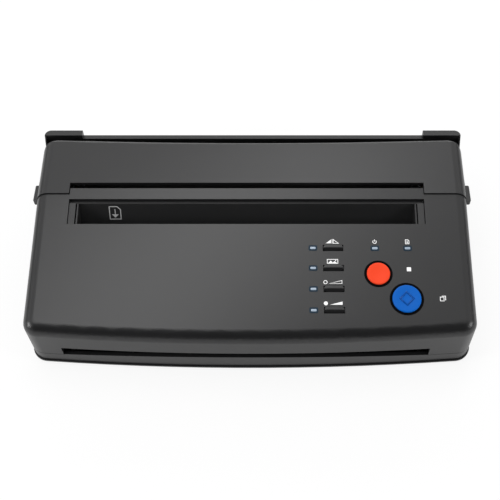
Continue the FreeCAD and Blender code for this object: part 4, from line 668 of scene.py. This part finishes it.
def bead(path, width, height, base, closed=True):
    """A low half-round bead: at each point of the path a half circle lies across the mean of the two sides
    that meet there, widened by 1 / cos of half the bend so that the sides keep their width."""
    path = np.asarray(path, float)
    ahead = np.roll(path, -1, 0) - path
    if not closed:
        ahead[-1] = ahead[-2]
    ahead /= np.linalg.norm(ahead, axis=1)[:, None]
    behind = np.roll(ahead, 1, 0)
    if not closed:
        behind[0] = ahead[0]
    mean = ahead + behind
    mean /= np.linalg.norm(mean, axis=1)[:, None]
    across = np.stack([-mean[:, 1], mean[:, 0]], -1)
    stretch = 1 / np.clip((mean * ahead).sum(1), 0.4, 1)
    t = np.linspace(0, math.pi, 7)
    side = (width / 2) * np.append(np.cos(t), 0)
    rise = base + height * np.append(np.sin(t), -1)
    grid = np.empty((len(path), len(side), 3))
    grid[..., :2] = path[:, None] + (across * stretch[:, None])[:, None] * side[None, :, None]
    grid[..., 2] = rise
    return np.concatenate([grid, grid[:1]]) if closed else grid


# Each button: its place on the panel, its radius, its plastic and its material slot
BUTTONS = {"stop_button": (77.8, -30.9, 7.05, red_abs, "red_button"),
           "copy_button": (94.2, -46.8, 8.7, blue_abs, "blue_button")}
for name, (x, y, radius, material, slot) in BUTTONS.items():
    cap = on_panel(turned(button_profile(radius), 96), x, y)
    make_piece(name + "_cap", [cap], material, name, (name,), 50.0)
print("buttons:", {name: 2 * values[2] for name, values in BUTTONS.items()}, "mm across")

# %% Dark rings
RING_WIDE = 1.6
RING_PROUD = 0.08
RING_FOOT = -0.4
RING_GAP = 0.06


def dark_ring(radius):
    """A flat ring of painted shade about a button, for the shadow in its gap: a thin rectangle, carried round
    and closed on itself.
    """
    inner, outer = radius + RING_GAP, radius + RING_WIDE
    section = [(outer, RING_FOOT), (outer, RING_PROUD), (inner, RING_PROUD), (inner, RING_FOOT)]
    return turned(section + section[:1], 96)


# The black rings are painted shade of the gap round each button.
rings = [on_panel(dark_ring(radius), x, y) for x, y, radius, _, _ in BUTTONS.values()]
make_piece("button_gap_shade_rings", rings, gap_shade_black, "chassis")
print("dark rings:", RING_WIDE, "mm wide")

# %% The raised diamond
DIAMOND_REACH = 4.1
DIAMOND_LINE = 1.0
DIAMOND_HEIGHT = 0.55
corners = [(DIAMOND_REACH, 0), (0, DIAMOND_REACH), (-DIAMOND_REACH, 0), (0, -DIAMOND_REACH)]
ridge = bead(corners, DIAMOND_LINE, DIAMOND_HEIGHT, CAP_TOP - CAP_DISH)
diamond = on_panel(ridge, *BUTTONS["copy_button"][:2])
# The diamond's darker blue is painted shade.
make_piece("copy_button_diamond", [diamond], shaded_blue_abs, "copy_button")
print("diamond:", 2 * DIAMOND_REACH, "mm from corner to corner")

# %% [markdown]
# ## Light windows
# Six small windows let lamps shine through: four beside the keys and two above the stop button. Each is a
# frosted lens with a flange under the panel, and a dark mask surrounds it: painted shade of the recess
# round the lens.

# %% Windows
WINDOW_X = 38.2
STATUS = [(76.3, -14.4), (96.4, -14.4)]
WINDOWS = [(WINDOW_X, y) for y in KEYS.values()] + STATUS
LENS_HALF = (1.9, 0.9)
LENS_CORNER = 0.4
LENS_FLANGE = 1
LENS_FLANGE_CORNER = 0.3
LENS_FOOT, LENS_SHOULDER = -3.5, -2.5
# Each ring of the dome: how far it is drawn in, and its height over the panel
LENS_DOME = [(0.0, 0.02), (0.06, 0.08), (0.15, 0.11), (0.45, 0.15), (0.8, 0.16)]
MASK_PROUD = 0.12
MASK_FOOT = -0.1
MASK_OUTER = (LENS_HALF[0] + 0.75, LENS_HALF[1] + 0.85, 0.9)
MASK_INNER = (LENS_HALF[0] - 0.3, LENS_HALF[1] - 0.15, 0.4)


def window_lens():
    """Rings of one lens from its flange up: a straight body, then a dome whose rings shrink as they rise."""
    hx, hy = LENS_HALF
    wide = (hx + LENS_FLANGE, hy + LENS_FLANGE, LENS_FLANGE_CORNER)
    flange = np.stack([rounded_ring(*wide, h) for h in (LENS_FOOT, LENS_SHOULDER)])
    levels = [(0.0, LENS_SHOULDER), *LENS_DOME]
    body = np.stack([rounded_ring(hx - inset, hy - inset, LENS_CORNER, h) for inset, h in levels])
    return [flange, body]


def window_mask():
    """A flat frame of painted shade round a lens: outer and inner ring at two heights, closed on itself."""
    turns = [(MASK_OUTER, MASK_FOOT), (MASK_OUTER, MASK_PROUD), (MASK_INNER, MASK_PROUD),
             (MASK_INNER, MASK_FOOT), (MASK_OUTER, MASK_FOOT)]
    return np.stack([rounded_ring(*shape, height) for shape, height in turns])


lenses = [on_panel(grid, x, y) for x, y in WINDOWS for grid in window_lens()]
make_piece("light_window_lenses", lenses, window_clear, "chassis", ("light_windows",))
# The masks are painted shade of the recess round each lens.
masks = [on_panel(window_mask(), x, y) for x, y in WINDOWS]
make_piece("light_window_shade_masks", masks, window_recess_shade, "chassis")
print("light windows:", len(WINDOWS))

# %% [markdown]
# ## Printed marks
# Every key has a mark in white ink above it. The marks here are plain pictures that need no language: a
# shape and its mirror image, a framed picture, a light and a dark tone with a wedge, a power sign, a sheet,
# a square for stop and two sheets for copy. Screen-printed ink lies a few hundredths of a millimetre proud,
# so each stroke is a very low bead, and each filled shape a very thin slab.

# %% Strokes and fills
INK_PROUD = 0.05
STROKE = 0.42


def stroke(*path, closed=False, width=STROKE):
    """One printed line through the given points."""
    return bead(path, width, INK_PROUD, 0.0, closed)


def filled(*corners):
    """A printed area whose middle sees all its corners: its outline just under and just over the surface."""
    outline = np.asarray(corners, float)
    levels = [np.column_stack([outline, np.full(len(outline), h)]) for h in (-INK_PROUD, INK_PROUD)]
    return np.stack(levels)


def arc(radius, start=0.0, end=360.0, steps=25, centre=(0.0, 0.0)):
    """Points (cx + r cos t, cy + r sin t), t in degrees. A full turn leaves out its last point."""
    t = np.radians(np.linspace(start, end, steps, endpoint=end - start < 360))
    return np.stack([centre[0] + radius * np.cos(t), centre[1] + radius * np.sin(t)], -1)


def sheet_outline(width, height, fold):
    """A sheet of paper with its top right corner folded off."""
    x, y = width / 2, height / 2
    return [(-x, -y), (x, -y), (x, y - fold), (x - fold, y), (-x, y)]


def mirror_mark():
    """A filled triangle, a dividing line and the triangle's outline on the other side."""
    half = 1.25
    wedge = [(0.7, -half), (3.9, -half), (0.7, half)]
    image = [(-x, y) for x, y in wedge]
    return [filled(*image), stroke(*wedge, closed=True), stroke((0, -half - 0.2), (0, half + 0.2))]


def picture_mark():
    """A frame with two hills and a sun."""
    frame_line = stroke((-3.2, -1.3), (3.2, -1.3), (3.2, 1.3), (-3.2, 1.3), closed=True)
    hills = [filled((-2.7, -1.1), (0.4, -1.1), (-1.1, 0.6)), filled((-0.3, -1.1), (2.7, -1.1), (1.3, 0.2))]
    return [frame_line, filled(*arc(0.4, centre=(1.9, 0.6), steps=12))] + hills


def tone_mark(dark):
    """A disc and a wedge that grows to the right, both filled for dark and drawn in outline for light."""
    wedge = [(-2.2, -0.9), (5.4, -0.9), (5.4, 1.1)]
    middle = (-4.6, 0.0)
    if dark:
        return [filled(*arc(1.25, centre=middle)), filled(*wedge)]
    return [stroke(*arc(1.05, centre=middle), closed=True), stroke(*wedge, closed=True, width=0.36)]


def power_mark():
    """The usual on/off sign: an open ring with a line in its gap."""
    return [stroke(*arc(1.1, 130, 410)), stroke((0, 0.1), (0, 1.5))]


def feed_mark(scale=1.0, line=STROKE):
    """A sheet with an arrow that points down onto it."""
    outline = np.array(sheet_outline(2.4, 3.0, 0.7)) * scale
    head = np.array([(-0.75, -0.35), (0.75, -0.35), (0.0, -1.15)]) * scale
    return [stroke(*outline, closed=True, width=line), filled(*head),
            stroke((0, 0.9 * scale), (0, -0.4 * scale), width=line)]


def stop_mark():
    """A filled square."""
    return [filled((-1.3, -1.3), (1.3, -1.3), (1.3, 1.3), (-1.3, 1.3))]


def copies_mark():
    """Two overlapping sheets."""
    front = stroke((-1.6, -1.5), (0.6, -1.5), (0.6, 0.9), (-1.6, 0.9), closed=True)
    behind = stroke((-0.6, 1.5), (1.6, 1.5), (1.6, -0.8), (1.1, -0.8))
    return [front, behind]


print("pens ready: stroke", STROKE, "mm wide")

# %% Marks on the panel
MARK_RISE = 4.3
MARK_X = 50.1
MARKS = {
    "mirror_key_mark": (mirror_mark(), MARK_X, KEYS["mirror_key"] + MARK_RISE),
    "photo_key_mark": (picture_mark(), MARK_X, KEYS["photo_key"] + MARK_RISE),
    "light_tone_mark": (tone_mark(False), MARK_X, KEYS["light_tone_key"] + MARK_RISE),
    "dark_tone_mark": (tone_mark(True), MARK_X, KEYS["dark_tone_key"] + MARK_RISE),
    "power_mark": (power_mark(), STATUS[0][0], STATUS[0][1] + MARK_RISE),
    "sheet_mark": (feed_mark(0.9), STATUS[1][0], STATUS[1][1] + MARK_RISE),
    "stop_mark": (stop_mark(), 96.5, -28.0),
    "copies_mark": (copies_mark(), 115.9, -46.5)}
for name, (shapes, x, y) in MARKS.items():
    placed = [on_panel(shape, x, y) for shape in shapes]
    make_piece(name, placed, ink, "chassis", smooth_below=60.0)
print("printed marks:", len(MARKS))

# %% [markdown]
# ## The paper mark in the hopper
# The hopper's sloping wall shows how the sheet goes in: a small page with an arrow in grey ink. It lies on
# the wall, which leans back from the feed roller, so the same drawing is tilted by the wall's own angle.

# %% Paper mark
# The wall's foot and top in (y, z), and the mark's place: its x and its share of the way up
WALL_FOOT = (4.7, 33.0)
WALL_TOP = (16.8, 54.55)
PAGE_X, UP_SHARE = -86.5, 0.74
PAGE_SCALE, PAGE_LINE = 2.9, 0.6
wall_slope = math.atan2(WALL_TOP[1] - WALL_FOOT[1], WALL_TOP[0] - WALL_FOOT[0])
wall_y = WALL_FOOT[0] + (WALL_TOP[0] - WALL_FOOT[0]) * UP_SHARE
wall_z = WALL_FOOT[1] + (WALL_TOP[1] - WALL_FOOT[1]) * UP_SHARE
page = [tilted(shape, PAGE_X, wall_y, wall_z, wall_slope) for shape in feed_mark(PAGE_SCALE, PAGE_LINE)]
make_piece("hopper_paper_mark", page, pale_ink, "chassis", smooth_below=60.0)
print("the hopper's wall leans", round(math.degrees(wall_slope), 1), "degrees from level")

# %% [markdown]
# ## Head springs
# Four coil springs press the head onto the platen. They are open coils of round wire, closed and ground at
# both ends, so the pitch is small at the ends.

# %% Springs
SPRING_COUNT = 4
SPRING_TURNS = 5.0
WIRE = 0.55
spring_low, spring_high = (np.array(corner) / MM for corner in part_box("head_springs"))
spring_radius = (spring_high[1] - spring_low[1]) / 2 - WIRE / 2
spring_y = (spring_low[1] + spring_high[1]) / 2
spring_edge = spring_radius + WIRE / 2


def coil(x):
    """A helix of round wire: its middle line is (x + R cos t, y + R sin t, z), and z rises as a smoothed
    step of t, slow at both ends. Each ring is r cos p outwards and r sin p upwards from that line."""
    t = np.linspace(0, 2 * math.pi * SPRING_TURNS, int(SPRING_TURNS * 24) + 1)
    share = t / t[-1]
    rise = share - 0.5 * np.sin(2 * math.pi * share) / (2 * math.pi)
    low, high = spring_low[2] + WIRE / 2, spring_high[2] - WIRE / 2
    outward = np.stack([np.cos(t), np.sin(t), np.zeros_like(t)], -1)
    line = np.array([x, spring_y, low]) + spring_radius * outward
    line[:, 2] += (high - low) * rise
    p = np.linspace(0, 2 * math.pi, 8, endpoint=False)
    upward = np.array([0, 0, 1.0])
    return line[:, None] + WIRE / 2 * (np.cos(p)[:, None] * outward[:, None] + np.sin(p)[:, None] * upward)


spring_xs = np.linspace(spring_low[0] + spring_edge, spring_high[0] - spring_edge, SPRING_COUNT)
coils = [coil(x) * MM for x in spring_xs]
springs = make_piece("head_spring_coils", coils, steel, "cover", ("head_springs",))
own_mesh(springs)
print("springs:", SPRING_COUNT, "of", round(float(spring_high[2] - spring_low[2]), 2), "mm")

# %% [markdown]
# ## Feet
# Four soft rubber feet are pressed into sockets under the case. Each has a rounded tread edge and a small
# hollow in the middle, which grips the table like a suction cup.

# %% Feet
FOOT_PLACES = [(x, y) for x in (-116.7, 116.7) for y in (-52.5, 52.5)]
foot_high = np.array(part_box("feet")[1]) / MM
FOOT_R = 6.0
TREAD_R = 0.8
HOLLOW = [(0.8, 0.75), (2.0, 0.7), (2.7, 0.5), (3.2, 0.1), (3.5, 0.0)]


def foot_profile():
    """(radius, height) from the hollow's middle over the tread and its round edge to the top."""
    t = np.linspace(-math.pi / 2, 0, 6)
    edge = [(FOOT_R - TREAD_R + TREAD_R * math.cos(a), TREAD_R + TREAD_R * math.sin(a)) for a in t]
    return HOLLOW + edge + [(FOOT_R, float(foot_high[2]))]


feet = [MM * (turned(foot_profile(), 48) + np.array([x, y, 0.0])) for x, y in FOOT_PLACES]
make_piece("rubber_feet", feet, foot_rubber, "chassis", ("feet",))
print("feet:", len(FOOT_PLACES), "each", 2 * FOOT_R, "mm across")

# %% [markdown]
# ## Marks on the power switch
# The rocker in the rear wall has two faces that meet over its pivot. A line marks the side to press for on,
# and a ring the side for off, as on every switch of this kind.

# %% Switch marks
rocker_low, rocker_high = (np.array(corner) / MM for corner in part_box("power_rocker"))
ROCKER_X, ROCKER_Z = (rocker_low[0] + rocker_high[0]) / 2, (rocker_low[2] + rocker_high[2]) / 2
ROCKER_HALF = (rocker_high[0] - rocker_low[0]) / 2
ROCKER_FALL = (1.01, 1.26)


def on_rocker(points, start, end):
    """Places local points halfway along a face that runs from start to end in (x, y): u runs back along the
    face, as it is seen from behind, v up, and w out of the face."""
    u, v, w = np.moveaxis(np.asarray(points, float), -1, 0)
    along = np.subtract(end, start) / np.linalg.norm(np.subtract(end, start))
    middle = np.add(start, end) / 2
    return MM * np.stack([middle[0] - u * along[0] - w * along[1], middle[1] - u * along[1] + w * along[0],
                          ROCKER_Z + v], -1)


left_end = (ROCKER_X - ROCKER_HALF, rocker_high[1])
ridge_point = (ROCKER_X, rocker_high[1] - ROCKER_FALL[0])
right_end = (ROCKER_X + ROCKER_HALF, rocker_high[1] - ROCKER_FALL[1])
on_mark = on_rocker(stroke((0, -1.7), (0, 1.7), width=0.6), left_end, ridge_point)
off_mark = on_rocker(stroke(*arc(1.5), closed=True, width=0.5), ridge_point, right_end)
make_piece("switch_marks", [on_mark, off_mark], ink, "power_rocker", smooth_below=60.0)
print("switch marks at z =", round(float(ROCKER_Z), 1), "mm")

# %% [markdown]
# ## Parts on the main board
# The board's three chips are black epoxy blocks with tinned legs, two electrolytic cans smooth the supply,
# and a cream plug takes the print head's cable. They are drawn as small stacks of rings that stand on the
# board.

# %% Board parts
board_low, board_high = (np.array(corner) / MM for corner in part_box("main_board"))
CHIP_SKIN = 0.1
CHIP_TOP = board_high[2] + CHIP_SKIN
CHIP_RISE = 2.0
BOARD_TOP = board_high[2] - CHIP_RISE
CHIP_SHARES = [(0.15, 0.3, 0.12, 0.3), (0.45, 0.35, 0.2, 0.4), (0.8, 0.6, 0.08, 0.2)]
CANS = [(-14.0, 17.0), (-26.0, 17.0)]
LEG_HALF = 0.2
LEG_REACH = 1.1
LEG_THICK = 0.3
PLUG_X, PLUG_Y, PLUG_HEIGHT = (3.0, 9.0), (12.0, 30.0), 5.5


def block(x0, x1, y0, y1, z0, z1, edge=0.3):
    """A box with round corners and a chamfered top edge, as three rings."""
    hx, hy = (x1 - x0) / 2, (y1 - y0) / 2
    rings = [rounded_ring(hx, hy, edge, z0, 3), rounded_ring(hx, hy, edge, z1 - edge, 3),
             rounded_ring(hx - edge / 2, hy - edge / 2, edge, z1, 3)]
    return np.stack(rings) + np.array([x0 + hx, y0 + hy, 0.0])


def chip_box(shares):
    """Corners of one chip from its shares of the board: x, y, width and depth."""
    span = board_high - board_low
    x0, y0 = board_low[0] + span[0] * shares[0], board_low[1] + span[1] * shares[1]
    return x0, x0 + span[0] * shares[2], y0, y0 + span[1] * shares[3]


bodies, legs = [], []
for shares in CHIP_SHARES:
    x0, x1, y0, y1 = chip_box(shares)
    outline = (x0 - CHIP_SKIN, x1 + CHIP_SKIN, y0 - CHIP_SKIN, y1 + CHIP_SKIN)
    bodies.append(MM * block(*outline, BOARD_TOP, CHIP_TOP))
    for x in np.arange(x0 + PIN_PITCH, x1 - PIN_PITCH / 2, PIN_PITCH):
        for low, high in ((y0 - LEG_REACH, y0), (y1, y1 + LEG_REACH)):
            leg = block(x - LEG_HALF, x + LEG_HALF, low, high, BOARD_TOP, BOARD_TOP + LEG_THICK, 0.1)
            legs.append(MM * leg)
make_piece("board_chips", bodies, sensor_black, "chassis")
make_piece("chip_legs", legs, steel, "chassis")
CAN = [(3.6, 0.0), (4.0, 0.3), (4.0, 1.0), (3.7, 1.3), (4.0, 1.6), (4.0, 8.4), (3.8, 8.8), (3.2, 9.0),
       (3.0, 8.9)]
cans = [MM * (turned(CAN, 32) + np.array([x, y, BOARD_TOP])) for x, y in CANS]
make_piece("supply_cans", cans, aluminium, "chassis")
plug_x, plug_y = board_low[0] + np.array(PLUG_X), board_low[1] + np.array(PLUG_Y)
plug = MM * block(*plug_x, *plug_y, BOARD_TOP, BOARD_TOP + PLUG_HEIGHT, 0.5)
make_piece("head_cable_plug", [plug], nylon, "chassis")
print("board parts:", len(bodies), "chips with", len(legs), "legs,", len(CANS), "cans and a plug")

# %% Sizes of the CAD model and of the dressed scene
size = {"cad_box": cad_box, "visual_box": [[float(v) for v in corner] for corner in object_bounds()]}
print("boxes:", size)
